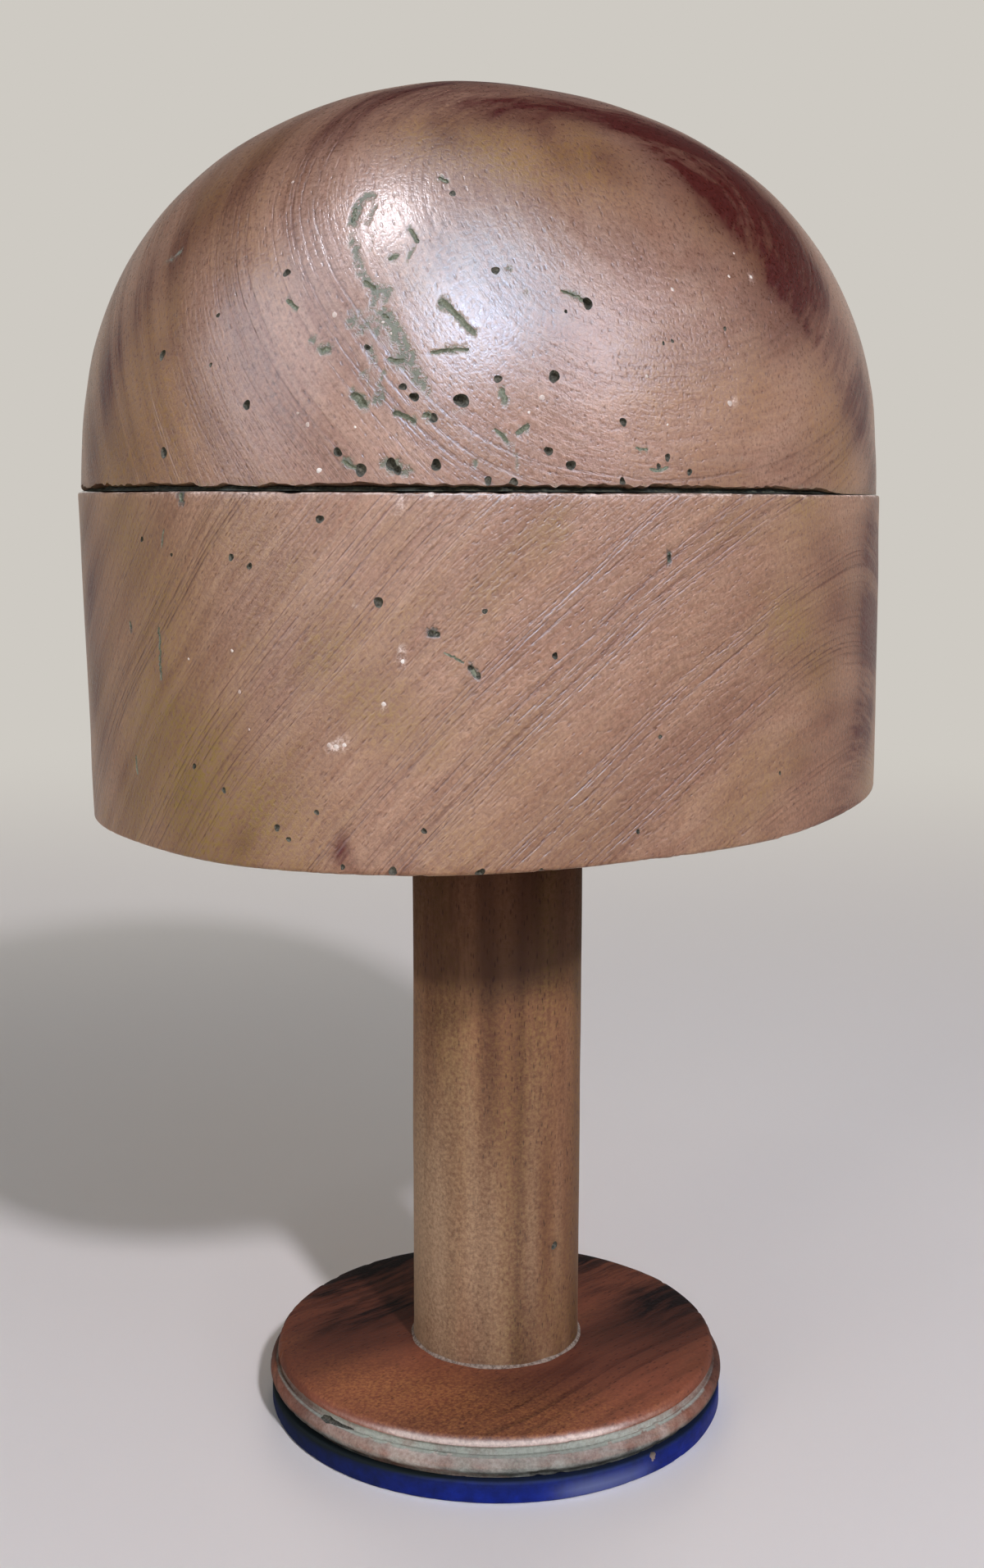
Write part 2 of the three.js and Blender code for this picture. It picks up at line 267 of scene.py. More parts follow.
def skin(name: str, rings: Array, materials: list[Material], closed: bool = False) -> Piece:
    """Closed skin over a stack of rings.

    Each end ring joins a point at its middle in a fan, unless the last ring joins the first.

    Args:
        name: name of the piece.
        rings: array (rows, columns, 3).
        materials: the piece's materials, first the one of the skin.
        closed: True if the last ring joins the first.

    Returns:
        The new object, with its place in its mesh.
    """
    points, faces = rings.reshape(-1, 3), wrapped(rings, closed)
    if not closed:
        first = np.arange(rings.shape[1])
        last, middle = first + len(points) - len(first), np.full(len(first), len(points))
        faces += np.stack([np.roll(first, -1), first, middle], axis=-1).tolist()
        faces += np.stack([last, np.roll(last, -1), middle + 1], axis=-1).tolist()
        points = np.vstack([points, rings[0].mean(axis=0), rings[-1].mean(axis=0)])
    mesh = bpy.data.meshes.new(name)
    mesh.from_pydata((points * MM).tolist(), [], faces)
    for material in materials:
        mesh.materials.append(material)
    return placed(name, mesh)


def smooth(piece: Piece, sharp_degrees: float = 40.0) -> None:
    """Shades a piece smooth, except across edges sharper than the given angle."""
    piece.data.shade_smooth()
    piece.data.set_sharp_from_angle(angle=math.radians(sharp_degrees))


def vertices_mm(piece: Piece) -> Array:
    """Vertices of a piece's mesh, in millimetres."""
    flat = np.empty(len(piece.data.vertices) * 3, np.float32)
    piece.data.vertices.foreach_get("co", flat)
    return flat.reshape(-1, 3).astype(float) / MM


def surface_of(piece: Piece) -> BVHTree:
    """Surface of a piece in millimetres, for pixels to be cast on."""
    faces = [tuple(face.vertices) for face in piece.data.polygons]
    return BVHTree.FromPolygons(vertices_mm(piece).tolist(), faces)


def paint(piece: Piece, marks: dict[Mark, Array]) -> None:
    """Stores marks from 0 to 1, one for each vertex, for a finish to read."""
    for mark, values in marks.items():
        attribute = piece.data.attributes.new(mark.value, "FLOAT", "POINT")
        attribute.data.foreach_set("value", np.clip(values, 0.0, 1.0).astype(np.float32))


def glow(points: Array, spots: list[Spot]) -> Array:
    """Sum over the spots of strength * exp(-(distance / radius) ** 2), at each point.

    Args:
        points: array (n, 3).
        spots: place, radius and strength of each spot.

    Returns:
        Array of n sums.
    """
    total = np.zeros(len(points))
    for place, radius, strength in spots:
        total += strength * bell(np.linalg.norm(points - place, axis=-1), radius)
    return total


def carve(piece: Piece, cutters: list[Piece]) -> None:
    """Cuts closed shapes out of a piece and removes them.

    Args:
        piece: the piece, whose mesh is replaced by the cut one.
        cutters: closed objects, whose material slots are the piece's.
    """
    group = bpy.data.collections.new("cutters")
    for cutter in cutters:
        group.objects.link(cutter)
    modifier = piece.modifiers.new("cuts", "BOOLEAN")
    modifier.operation = "DIFFERENCE"
    modifier.operand_type = "COLLECTION"
    modifier.collection = group
    modifier.solver = "MANIFOLD"
    graph = bpy.context.evaluated_depsgraph_get()
    mesh = bpy.data.meshes.new_from_object(piece.evaluated_get(graph))
    piece.modifiers.clear()
    old, name = piece.data, piece.data.name
    piece.data = mesh
    bpy.data.meshes.remove(old)
    mesh.name = name
    for cutter in cutters:
        bpy.data.meshes.remove(cutter.data)
    bpy.data.collections.remove(group)


def tube(
    name: str, path: Array, radii: Array, materials: list[Material], rng: Rng, sides: int = 16,
    face_material: int = 0,
) -> Piece:
    """Closed tube of uneven section along a path.

    Ring k is path[k] + radii[k] * (1 + 0.12 sin(2 a + p) + 0.08 sin(3 a + q)) * (u cos a + v sin a),
    where u and v are square to the path.

    Args:
        name: name of the object.
        path: array (n, 3).
        radii: array of n radii.
        materials: materials of the piece that the tube is cut from.
        rng: source of the section's unevenness.
        sides: points in each ring.
        face_material: number of the material on the tube's faces.

    Returns:
        The new object.
    """
    along = unit(np.gradient(path, axis=0))
    aside = np.eye(3)[np.argmin(np.abs(along.mean(axis=0)))]
    across = unit(np.cross(along, aside))
    upright = np.cross(along, across)
    angle = np.arange(sides) * TURN / sides
    first, second = rng.uniform(0, TURN, 2)
    uneven = 1 + 0.12 * np.sin(2 * angle + first) + 0.08 * np.sin(3 * angle + second)
    reach = radii[:, None] * uneven
    rings = path[:, None] + (reach * np.cos(angle))[..., None] * across[:, None]
    rings += (reach * np.sin(angle))[..., None] * upright[:, None]
    piece = skin(name, rings, materials)
    faces = np.full(len(piece.data.polygons), face_material, np.int32)
    piece.data.polygons.foreach_set("material_index", faces)
    return piece


def linear(colour: str) -> tuple[float, float, float, float]:
    """Linear colour of a hex sRGB value such as #8A5A3C."""
    parts = [int(colour[place : place + 2], 16) / 255 for place in (1, 3, 5)]
    curved = [p / 12.92 if p <= 0.04045 else ((p + 0.055) / 1.055) ** 2.4 for p in parts]
    return (*curved, 1.0)


# The property of each kind of shader node that holds its mode.
MODE_OF = {
    "Attribute": "attribute_name", "MapRange": "interpolation_type", "Math": "operation",
    "Mix": "data_type", "TexNoise": "noise_dimensions", "TexWhiteNoise": "noise_dimensions",
    "VectorMath": "operation",
}


def add_node(
    tree: bpy.types.NodeTree, kind: str, *values: object, out: str | None = None, **named: object
) -> Socket | None:
    """Adds a shader node.

    Args:
        tree: the material's node tree.
        kind: the node's type without its ShaderNode prefix, then a colon and its mode if it has one.
        *values: value or linked socket for each input that the mode uses, in order.
        out: name of the output to return, or None for the first that the mode uses.
        **named: value or linked socket for inputs by name, with underscores for its spaces.

    Returns:
        The output socket, or None for a node without one.
    """
    kind, _, mode = kind.partition(":")
    made = tree.nodes.new("ShaderNode" + kind)
    if mode:
        setattr(made, MODE_OF[kind], mode)
    used = zip([socket for socket in made.inputs if socket.enabled], values)
    by_name = [(made.inputs[name.replace("_", " ")], value) for name, value in named.items()]
    for socket, value in [*used, *by_name]:
        if isinstance(value, bpy.types.NodeSocket):
            tree.links.new(value, socket)
        else:
            socket.default_value = value
    return made.outputs[out] if out else next((way for way in made.outputs if way.enabled), None)


def emptied(owner: bpy.types.ID) -> Callable:
    """Empties the node tree of a material or a world, and returns what adds nodes to it."""
    owner.use_nodes = True
    owner.node_tree.nodes.clear()
    return partial(add_node, owner.node_tree)


@dataclass(frozen=True)
class Look:
    """What a finish shows: the surface's inputs by name, and the height that its bump follows."""

    surface: dict[str, object]
    rise: Socket
    strength: float
    depth: float


@dataclass(frozen=True)
class Finish:
    """What all finishes share. Each kind of finish gives its own look."""

    name: str

    def look(self, node: Callable, place: Socket) -> Look:
        """What the finish shows, from what adds a node and from Object coordinates in millimetres."""
        raise NotImplementedError

    def build(self) -> Material:
        """Makes the material from its look.

        Returns:
            The material, which reads Object coordinates and the vertex marks.
        """
        material = bpy.data.materials.new(self.name)
        node = emptied(material)
        place = node("VectorMath:SCALE", node("TexCoord", out="Object"), 1 / MM)
        look = self.look(node, place)
        bump = node("Bump", Height=look.rise, Strength=look.strength, Distance=look.depth * MM)
        node("OutputMaterial", node("BsdfPrincipled", Normal=bump, **look.surface))
        return material


@dataclass(frozen=True)
class CarvedHardwood(Finish):
    """Fine-pored brown hardwood, carved and sanded, under a worn satin varnish.

    The eye gets growth rings that run round the carving in clusters of fine raised lines, broad
    lighter and darker bands along them, short dark pores, amber and red-brown patches, and a soft
    haze of light on the varnish.
    """

    pale: str
    body: str
    late: str
    heart: str
    amber: str
    bare: str
    grime: str
    ring_normal: tuple[float, float, float]
    grain: tuple[float, float, float]
    pith_depth: float = 500.0
    ring_width: float = 1.1
    ring_cluster: float = 9.0
    ring_strength: float = 0.5
    band_width: float = 5.0
    band_strength: float = 0.12
    fibre_width: float = 0.8
    fibre_length: float = 14.0
    drift: float = 1.2
    drift_size: float = 60.0
    heart_scatter: float = 0.15
    amber_scatter: float = 0.35
    pore_size: tuple[float, float, float] = (0.85, 1.4, 3.4)
    pore_strength: float = 0.38
    patch_size: tuple[float, float, float] = (17.0, 34.0, 48.0)
    fleck_size: float = 0.9
    speckle: float = 0.2
    ragged: float = 0.7
    relief: float = 0.1
    specular: float = 0.22
    roughness: float = 0.38

    def look(self, node: Callable, place: Socket) -> Look:
        """Works out rings, fibres, pores and patches, and lays the wood's colours by them.

        Args:
            node: adds a node to the material.
            place: Object coordinates in millimetres.

        Returns:
            The wood's look.
        """
        along = unit(np.array(self.grain))
        normal = unit(np.array(self.ring_normal) - np.dot(self.ring_normal, along) * along)
        drift = node("TexNoise", place, 1 / self.drift_size, 1.0, out="Color")
        drift = node("VectorMath:SUBTRACT", drift, (0.5, 0.5, 0.5))
        drift = node("VectorMath:SCALE", drift, 4 * self.drift)
        bent = node("VectorMath:ADD", place, drift)
        axes = (normal, np.cross(along, normal), along)
        u, v, w = (node("VectorMath:DOT_PRODUCT", bent, tuple(axis)) for axis in axes)
        board = node("CombineXYZ", u, v, w)

        # Fibres: noise that changes fast across the rings and slowly along them.
        wide, long = 1 / self.fibre_width, 1 / self.fibre_length
        thread = node("VectorMath:MULTIPLY", board, (wide, 1.5 * long, long))
        fibre = node("TexNoise", thread, 1.0, 3.0, 0.65)
        fibre = node("MapRange:SMOOTHSTEP", fibre, 0.34, 0.66)

        # Rings: the distance from the pith in ring widths. Each ring ends in a narrow dark line,
        # a slow noise from ring to ring gathers the lines in clusters, and the fibres break them.
        radius = node("VectorMath:LENGTH", node("CombineXYZ", node("Math:ADD", u, self.pith_depth), v))
        count = node("Math:DIVIDE", radius, self.ring_width)
        uneven = node("TexNoise:1D", count, 0.4, 1.0)
        count = node("Math:MULTIPLY_ADD", uneven, 2.0, count)
        line = node("MapRange:SMOOTHSTEP", node("Math:FRACT", count), 0.45, 0.9)
        order = node("Math:FLOOR", count)
        own = node("Math:MULTIPLY_ADD", node("TexWhiteNoise:1D", order), 0.6, 0.4)
        gathered = node("TexNoise:1D", order, 1 / self.ring_cluster, 0.0)
        gathered = node("MapRange:SMOOTHSTEP", gathered, 0.46, 0.6, 0.18, 1.0)
        broken = node("Math:MULTIPLY_ADD", fibre, -0.7, 1.0)
        for share in (own, gathered, broken):
            line = node("Math:MULTIPLY", line, share)
        band = node("TexNoise:1D", radius, 0.5 / self.band_width, 2.0)
        band = node("MapRange:SMOOTHSTEP", band, 0.36, 0.64)

        # Pores: short dark cells along the grain. Patches, longer along the rings, and flecks.
        cells = node("VectorMath:MULTIPLY", board, tuple(1 / np.array(self.pore_size)))
        pore = node("MapRange:SMOOTHSTEP", node("TexVoronoi", cells, 1.0), 0.12, 0.27, 1.0, 0.0)
        broad = node("VectorMath:MULTIPLY", board, tuple(1 / np.array(self.patch_size)))
        mottle = node("TexNoise", broad, 1.0, 4.0, 0.6)
        fleck = node("TexNoise", place, 1 / self.fleck_size, 2.0, 0.7)
        fleck = node("MapRange", fleck, 0.33, 0.67)

        # Marks: heartwood with painted shade, amber with painted light, wear with painted highlights, and
        # grime with painted shade. The last two have edges made ragged by the flecks.
        heart, amber, *rough = (node("Attribute:" + mark.value, out="Fac") for mark in Mark)
        uneven = node("MapRange", fleck, 0.0, 1.0, 1 - self.ragged, 1 + self.ragged)
        levels = [node("Math:MULTIPLY", uneven, mark) for mark in rough]
        wear, grime = (node("MapRange:SMOOTHSTEP", level, 0.08, 1.0) for level in levels)

        # Shares of the colours, which are laid over the wood's body one by one.
        tone = node("Math:MULTIPLY_ADD", fibre, 0.3, 0.27)
        tone = node("Math:MULTIPLY_ADD", band, 0.2, tone)
        gold = node("MapRange", mottle, 0.5, 0.7, 0.0, self.amber_scatter)
        gold = node("Math:MULTIPLY", fleck, node("Math:ADD", gold, amber))
        shade = node("Math:MULTIPLY", line, self.ring_strength)
        shade = node("Math:MULTIPLY_ADD", pore, self.pore_strength, shade)
        streak = node("Math:MULTIPLY_ADD", band, -0.6, 0.9)
        streak = node("Math:MULTIPLY_ADD", fibre, 0.45, streak)
        scatter = node("MapRange", mottle, 0.5, 0.3, 0.0, self.heart_scatter)
        # The heart mark lays red-brown heartwood, which on the block and the base is also painted shade.
        red = node("Math:MAXIMUM", node("Math:MULTIPLY", heart, streak), scatter)
        shares = (tone, gold, shade, red, wear, grime)
        laid = (self.pale, self.amber, self.late, self.heart, self.bare, self.grime)
        colour = linear(self.body)
        for share, coat in zip(shares, laid):
            colour = node("Mix:RGBA", share, colour, linear(coat))
        light = node("MapRange", band, 0.0, 1.0, 1 - self.band_strength, 1 + self.band_strength)
        spark = node("MapRange", fleck, 0.0, 1.0, 1 - self.speckle, 1 + self.speckle)
        colour = node("VectorMath:SCALE", colour, node("Math:MULTIPLY", light, spark))

        gloss = node("MapRange", fleck, 0.0, 1.0, self.roughness - 0.05, self.roughness + 0.07)
        gloss = node("Math:MULTIPLY_ADD", grime, 0.4, gloss)
        rise = 0.0
        for part, height in ((fibre, 0.35), (pore, -0.4), (line, -1.0), (fleck, 0.4), (grime, -2.0)):
            rise = node("Math:MULTIPLY_ADD", part, height, rise)
        surface = {"Base_Color": colour, "Roughness": gloss, "Specular_IOR_Level": self.specular}
        return Look(surface, rise, 0.8, self.relief)


@dataclass(frozen=True)
class ChippedPaint(Finish):
    """Dark blue gloss house paint, brushed round a turned edge, chipped to pale wood and scuffed.

    The eye gets a deep blue with faint brush lines, pale chips with a rim, and near-black painted shade on
    its top edge and its left side.
    """

    paint: str = "#142682"
    deep: str = "#0D1856"
    wood: str = "#9A8876"
    scuff: str = "#6C759C"
    # Near black of the painted shade.
    painted_shade_colour: str = "#0C100E"
    chip: float = 3.0
    brush: float = 0.6

    def look(self, node: Callable, place: Socket) -> Look:
        """Paint, brush marks round the axis, and chips where the wear mark is high.

        Args:
            node: adds a node to the material.
            place: Object coordinates in millimetres.

        Returns:
            The paint's look.
        """
        flakes = node("TexNoise", place, 1 / self.chip, 4.0, 0.65)
        strokes = node("VectorMath:MULTIPLY", place, (0.02, 0.02, 1 / self.brush))
        brushed = node("TexNoise", strokes, 1.0, 2.0)
        _, scuffed, wear, painted_shade = (node("Attribute:" + mark.value, out="Fac") for mark in Mark)
        chipped = node("MapRange", node("Math:ADD", flakes, wear), 1.02, 1.06)
        shares = (node("MapRange", flakes, 0.3, 0.7), chipped, scuffed, painted_shade)
        colour = linear(self.deep)
        for share, coat in zip(shares, (self.paint, self.wood, self.scuff, self.painted_shade_colour)):
            colour = node("Mix:RGBA", share, colour, linear(coat))
        gloss = node("MapRange", chipped, 0.0, 1.0, 0.5, 0.85)
        gloss = node("Math:MULTIPLY_ADD", painted_shade, 0.4, gloss)
        rise = node("Math:MULTIPLY", chipped, -1.0)
        rise = node("Math:MULTIPLY_ADD", brushed, 0.6, rise)
        surface = {"Base_Color": colour, "Roughness": gloss, "Specular_IOR_Level": 0.06}
        return Look(surface, rise, 0.8, 0.12)


@dataclass(frozen=True)
class DulledSteel(Finish):
    """Mild steel of an old screw, dulled: grey-brown metal with blotches of rust and fine scratches.

    The eye gets a dim uneven shine, broken by matt brown blotches.
    """

    metal: str = "#8F8A82"
    rust: str = "#5B3A25"
    blotch: float = 1.6

    def look(self, node: Callable, place: Socket) -> Look:
        """Metal mixed with matt rust by noise of the blotches' size.

        Args:
            node: adds a node to the material.
            place: Object coordinates in millimetres.

        Returns:
            The steel's look.
        """
        blotches = node("TexNoise", place, 1 / self.blotch, 4.0, 0.65)
        rusty = node("MapRange", blotches, 0.52, 0.66)
        colour = node("Mix:RGBA", rusty, linear(self.metal), linear(self.rust))
        metallic = node("Math:SUBTRACT", 1.0, rusty)
        gloss = node("MapRange", blotches, 0.3, 0.7, 0.3, 0.75)
        return Look({"Base_Color": colour, "Metallic": metallic, "Roughness": gloss}, blotches, 0.4, 0.1)


@dataclass(frozen=True)
class PlainCrust(Finish):
    """Dull crumbly matter: worm dust in bored wood, dust in a joint, hide glue, drips of old paint.

    The eye gets a rough matt skin in two near colours.
    """

    colour: str
    shade: str
    grain: float = 0.5
    roughness: float = 0.95
    specular: float = 0.12

    def look(self, node: Callable, place: Socket) -> Look:
        """The two colours mixed by noise of the grain's size.

        Args:
            node: adds a node to the material.
            place: Object coordinates in millimetres.

        Returns:
            The crust's look.
        """
        grains = node("TexNoise", place, 1 / self.grain, 3.0, 0.6)
        share = node("MapRange", grains, 0.35, 0.65)
        colour = node("Mix:RGBA", share, linear(self.shade), linear(self.colour))
        surface = {
            "Base_Color": colour, "Roughness": self.roughness, "Specular_IOR_Level": self.specular,
        }
        return Look(surface, grains, 0.6, self.grain / 3)


@dataclass(frozen=True)
class Photograph:
    """The photograph's camera, found from the block's outline, its joint, the stem and the base."""

    width: int = 1200
    height: int = 1913
    focal: float = 2245.0
    station: tuple[float, float, float] = (-262.5, -364.43, 227.38)
    yaw: float = 35.58
    pitch: float = 8.743
    roll: float = -0.195
    sensor: float = 36.0

    def axes(self) -> Array:
        """Works out how the camera is turned: yaw and pitch set its level right, and roll tips it.

        Returns:
            Its right, up and forward directions, one in each row.
        """
        yaw, pitch, roll = np.radians([self.yaw, self.pitch, self.roll])
        level = np.array([math.cos(yaw), -math.sin(yaw), 0.0])
        ahead = np.array([math.sin(yaw), math.cos(yaw), 0.0])
        forward = ahead * math.cos(pitch) - [0.0, 0.0, math.sin(pitch)]
        right = level * math.cos(roll) - np.cross(level, forward) * math.sin(roll)
        return np.array([right, np.cross(right, forward), forward])

    def ray(self, pixel: Pixel) -> Array:
        """Direction from the camera through a pixel."""
        aside, down = pixel[0] - self.width / 2, pixel[1] - self.height / 2
        return unit(np.array([aside, -down, self.focal]) @ self.axes())

    def cast(self, pixel: Pixel, surface: BVHTree) -> tuple[Array, Array]:
        """Point of a surface that a pixel shows.

        Args:
            pixel: place in the photograph.
            surface: the surface, in millimetres.

        Returns:
            The point and the surface's outward normal there.
        """
        point, normal, _, _ = surface.ray_cast(Vector(self.station), Vector(self.ray(pixel)))
        if point is None:
            raise ValueError(f"pixel {pixel} doesn't meet the surface")
        outward = np.array(normal)
        return np.array(point), -outward if np.dot(outward, self.ray(pixel)) > 0 else outward

    def spots(self, marks: tuple[PixelSpot, ...], surface: BVHTree) -> list[Spot]:
        """Places on a surface of marks given by pixel, radius and strength."""
        return [(self.cast((x, y), surface)[0], radius, part) for x, y, radius, part in marks]

    def make_camera(self) -> Piece:
        """Adds the camera and makes it the scene's.

        Returns:
            The camera.
        """
        data = bpy.data.cameras.new("camera")
        data.sensor_width = self.sensor
        data.lens = self.focal * self.sensor / self.height
        data.clip_start, data.clip_end = 0.01, 50.0
        right, up, forward = self.axes()
        turn = np.eye(4)
        turn[:3] = np.array([right, up, -forward, np.array(self.station) * MM]).T
        camera = placed("camera", data)
        camera.matrix_world = Matrix(turn.tolist())
        bpy.context.scene.camera = camera
        return camera


PHOTO = Photograph()


@dataclass(frozen=True)
class Gallery:
    """Open track of a woodworm, a gouge or a crack, along pixels of the photograph.

    A track with no depth is only a stain.
    """

    route: tuple[Pixel, ...]
    width: float
    depth: float
    stain: float = 0.6


@dataclass(frozen=True)
class BoardMarks:
    """What the photograph shows on a board, by pixel.

    Each bore, which may be a notch in an edge, has the pixel of its mouth and its width. Each gallery
    has the pixels of its route, its width, its depth and the strength of its stain. Each place of
    dark heartwood, of amber sapwood or rubbed pale has its pixel, its radius and its strength. Heart
    places along the rims are painted shade as well as heartwood, and a rubbed place can be a
    painted highlight.
    """

    bores: tuple[tuple[float, float, float], ...]
    galleries: tuple[tuple, ...]
    heart: tuple[PixelSpot, ...]
    amber: tuple[PixelSpot, ...]
    rubbed: tuple[PixelSpot, ...]


CROWN_MARKS = BoardMarks(
    bores=(
        (529, 510, 1.6), (562, 488, 2.6), (505, 484, 1.7), (532, 567, 2.0), (595, 586, 1.5),
        (626, 589, 1.8), (605, 330, 1.5), (607, 462, 1.5), (676, 460, 2.2), (669, 550, 1.7),
        (696, 568, 1.9), (760, 515, 1.6), (759, 587, 1.4), (814, 558, 1.4), (841, 576, 1.3),
        (717, 370, 2.2), (301, 494, 1.7), (350, 333, 1.5), (266, 385, 0.9), (200, 552, 2.0),
        (198, 433, 2.0), (552, 236, 1.3), (448, 424, 1.1), (491, 472, 1.4), (412, 552, 1.6),
        (820, 416, 0.8), (884, 401, 0.9), (803, 569, 1.1), (477, 566, 2.1), (484, 573, 1.7),
        (440, 573, 2.2), (690, 380, 0.7), (809, 419, 0.7), (257, 445, 0.8),
    ),
    galleries=(
        (((440, 246), (434, 272), (436, 310), (450, 344), (462, 366)), 2.6, 0.0, 0.09),
        (((426, 386), (452, 398), (478, 414), (500, 440), (520, 476)), 4.6, 0.0, 0.055),
        (((466, 384), (486, 408), (502, 436)), 2.8, 0.0, 0.1),
        (((454, 236), (443, 241), (437, 250), (433, 262), (430, 274)), 1.8, 0.0, 0.55),
        (((457, 240), (458, 252), (451, 265), (446, 275)), 1.2, 0.0, 0.6),
        (((434, 254), (432, 263), (430, 272)), 1.1, 0.5, 0.5),
        (((427, 290), (433, 303), (436, 318), (440, 334), (447, 346)), 1.3, 0.0, 0.6),
        (((444, 343), (452, 349), (458, 353)), 1.3, 0.5),
        (((458, 350), (468, 353), (476, 357)), 1.7, 0.0, 0.65),
        (((457, 356), (457, 366), (454, 376)), 1.3, 0.0, 0.65),
        (((472, 359), (468, 370)), 0.9, 0.0, 0.5),
        (((459, 277), (452, 292), (450, 306), (459, 317)), 0.9, 0.0, 0.4),
        (((458, 320), (466, 319)), 0.8, 0.0, 0.4), (((474, 317), (486, 312)), 1.1, 0.35, 0.5),
        (((500, 279), (506, 288), (509, 297)), 1.4, 0.5, 0.5), (((502, 305), (498, 315)), 1.0, 0.0, 0.6),
        (((427, 381), (433, 376), (441, 380)), 1.1, 0.0, 0.5),
        (((424, 390), (434, 398), (443, 404)), 1.3, 0.0, 0.6),
        (((448, 394), (456, 399), (460, 405)), 1.0, 0.0, 0.45),
        (((463, 383), (472, 386), (480, 394), (487, 408), (489, 417)), 1.7, 0.0, 0.6),
        (((466, 384), (474, 389)), 1.1, 0.4, 0.5), (((492, 424), (500, 436)), 1.2, 0.0, 0.45),
        (((380, 415), (385, 419)), 1.1, 0.0, 0.6), (((391, 428), (397, 427), (403, 425)), 1.5, 0.4, 0.8),
        (((446, 424), (454, 431), (457, 443)), 1.2, 0.0, 0.55),
        (((458, 446), (466, 452), (470, 462)), 1.2, 0.0, 0.5),
        (((473, 437), (484, 441), (493, 438)), 1.4, 0.35, 0.6),
        (((491, 430), (500, 434), (506, 441)), 1.5, 0.0, 0.65),
        (((497, 446), (505, 455), (509, 466)), 1.2, 0.0, 0.5),
        (((512, 458), (518, 468), (523, 480)), 1.1, 0.0, 0.5),
        (((440, 452), (448, 460), (452, 470)), 1.2, 0.0, 0.5),
        (((462, 470), (463, 480), (458, 488)), 1.5, 0.0, 0.7),
        (((430, 479), (437, 486), (447, 496)), 1.9, 0.9, 0.6),
        (((456, 492), (464, 487), (470, 482)), 1.2, 0.0, 0.6),
        (((479, 504), (489, 506), (498, 510), (506, 515)), 1.4, 0.6, 0.5),
        (((516, 505), (523, 507), (531, 511)), 1.4, 0.6, 0.5),
        (((350, 366), (356, 371), (362, 378)), 1.2, 0.4, 0.6),
        (((538, 365), (551, 379), (565, 393), (579, 408)), 1.7, 0.5, 0.5),
        (((534, 371), (541, 368)), 1.1, 0.3, 0.4),
        (((525, 430), (540, 428), (556, 427), (572, 426)), 1.2, 0.35, 0.5),
        (((523, 386), (533, 387), (544, 388)), 0.7, 0.0, 0.35),
        (((616, 324), (623, 328)), 1.2, 0.0, 0.35),
        (((630, 349), (638, 354), (646, 361)), 0.9, 0.0, 0.4),
        (((684, 354), (693, 358), (704, 361)), 1.0, 0.35, 0.5),
        (((703, 361), (711, 366), (719, 371)), 1.4, 0.5, 0.5),
        (((611, 473), (614, 482), (617, 490)), 1.6, 0.35, 0.6),
        (((629, 529), (637, 524), (645, 518)), 1.4, 0.6, 0.5),
        (((603, 523), (611, 529), (619, 540)), 1.2, 0.35, 0.5),
        (((619, 541), (626, 550), (632, 563), (632, 574)), 1.0, 0.0, 0.5),
        (((465, 562), (476, 569), (488, 570), (501, 573)), 1.9, 0.0, 0.6),
        (((418, 562), (427, 569), (437, 573)), 1.4, 0.4, 0.5),
        (((775, 546), (783, 548), (790, 549)), 0.9, 0.2, 0.4),
        (((792, 572), (803, 574), (815, 570)), 1.0, 0.2, 0.4),
        (((851, 556), (866, 558), (878, 559)), 0.6, 0.0, 0.45),
        (((884, 558), (900, 560), (921, 562)), 0.6, 0.0, 0.4),
        (((535, 216), (541, 219), (546, 223)), 1.3, 0.5, 0.4),
        (((199, 321), (209, 316), (221, 308)), 1.6, 0.0, 0.6),
        (((545, 497), (556, 499), (566, 500)), 0.9, 0.0, 0.3), (((574, 560), (580, 566)), 1.2, 0.0, 0.4),
    ),
    # Dark heartwood, and painted shade along the dome's top and side rims.
    heart=(
        (865, 205, 15, 0.75), (905, 250, 15, 0.85), (945, 295, 14, 0.9), (980, 345, 13, 0.9),
        (1010, 400, 12, 0.95), (1035, 450, 11, 0.9), (1050, 500, 10, 0.9), (1062, 560, 9, 0.9),
        (820, 172, 14, 0.7), (760, 143, 13, 0.65), (700, 122, 13, 0.75), (640, 111, 14, 0.8),
        (580, 108, 14, 0.8), (520, 113, 13, 0.6), (460, 130, 12, 0.4), (405, 155, 11, 0.35),
        (350, 187, 10, 0.3), (290, 230, 10, 0.3), (235, 285, 9, 0.35), (190, 340, 9, 0.45),
        (155, 400, 9, 0.55), (130, 460, 9, 0.65), (118, 530, 9, 0.65), (112, 590, 9, 0.5),
        (815, 240, 8, 0.25), (770, 290, 8, 0.2), (200, 430, 4, 0.4), (860, 330, 6, 0.25),
        (950, 420, 7, 0.3), (905, 360, 6, 0.2), (470, 150, 4, 0.3), (474, 172, 4, 0.25),
        (540, 150, 4, 0.35), (545, 175, 4, 0.3), (600, 140, 5, 0.35), (660, 150, 5, 0.4),
        (672, 175, 5, 0.35), (690, 202, 5, 0.25), (735, 190, 5, 0.35), (752, 215, 5, 0.3),
        (430, 168, 4, 0.25), (610, 235, 5, 0.15), (650, 250, 5, 0.15),
    ),
    amber=(
        (165, 430, 14, 0.6), (190, 545, 18, 0.7), (620, 180, 14, 0.9), (510, 165, 10, 0.8),
        (725, 200, 14, 0.7), (925, 310, 8, 0.7), (1010, 520, 12, 0.6), (140, 575, 12, 0.7),
        (320, 185, 9, 0.6), (1030, 590, 8, 0.6), (260, 250, 10, 0.4), (860, 270, 7, 0.5),
    ),
    rubbed=(
        (916, 340, 1.4, 0.5), (895, 490, 1.4, 0.5), (655, 500, 1.5, 0.3),
    ),
)
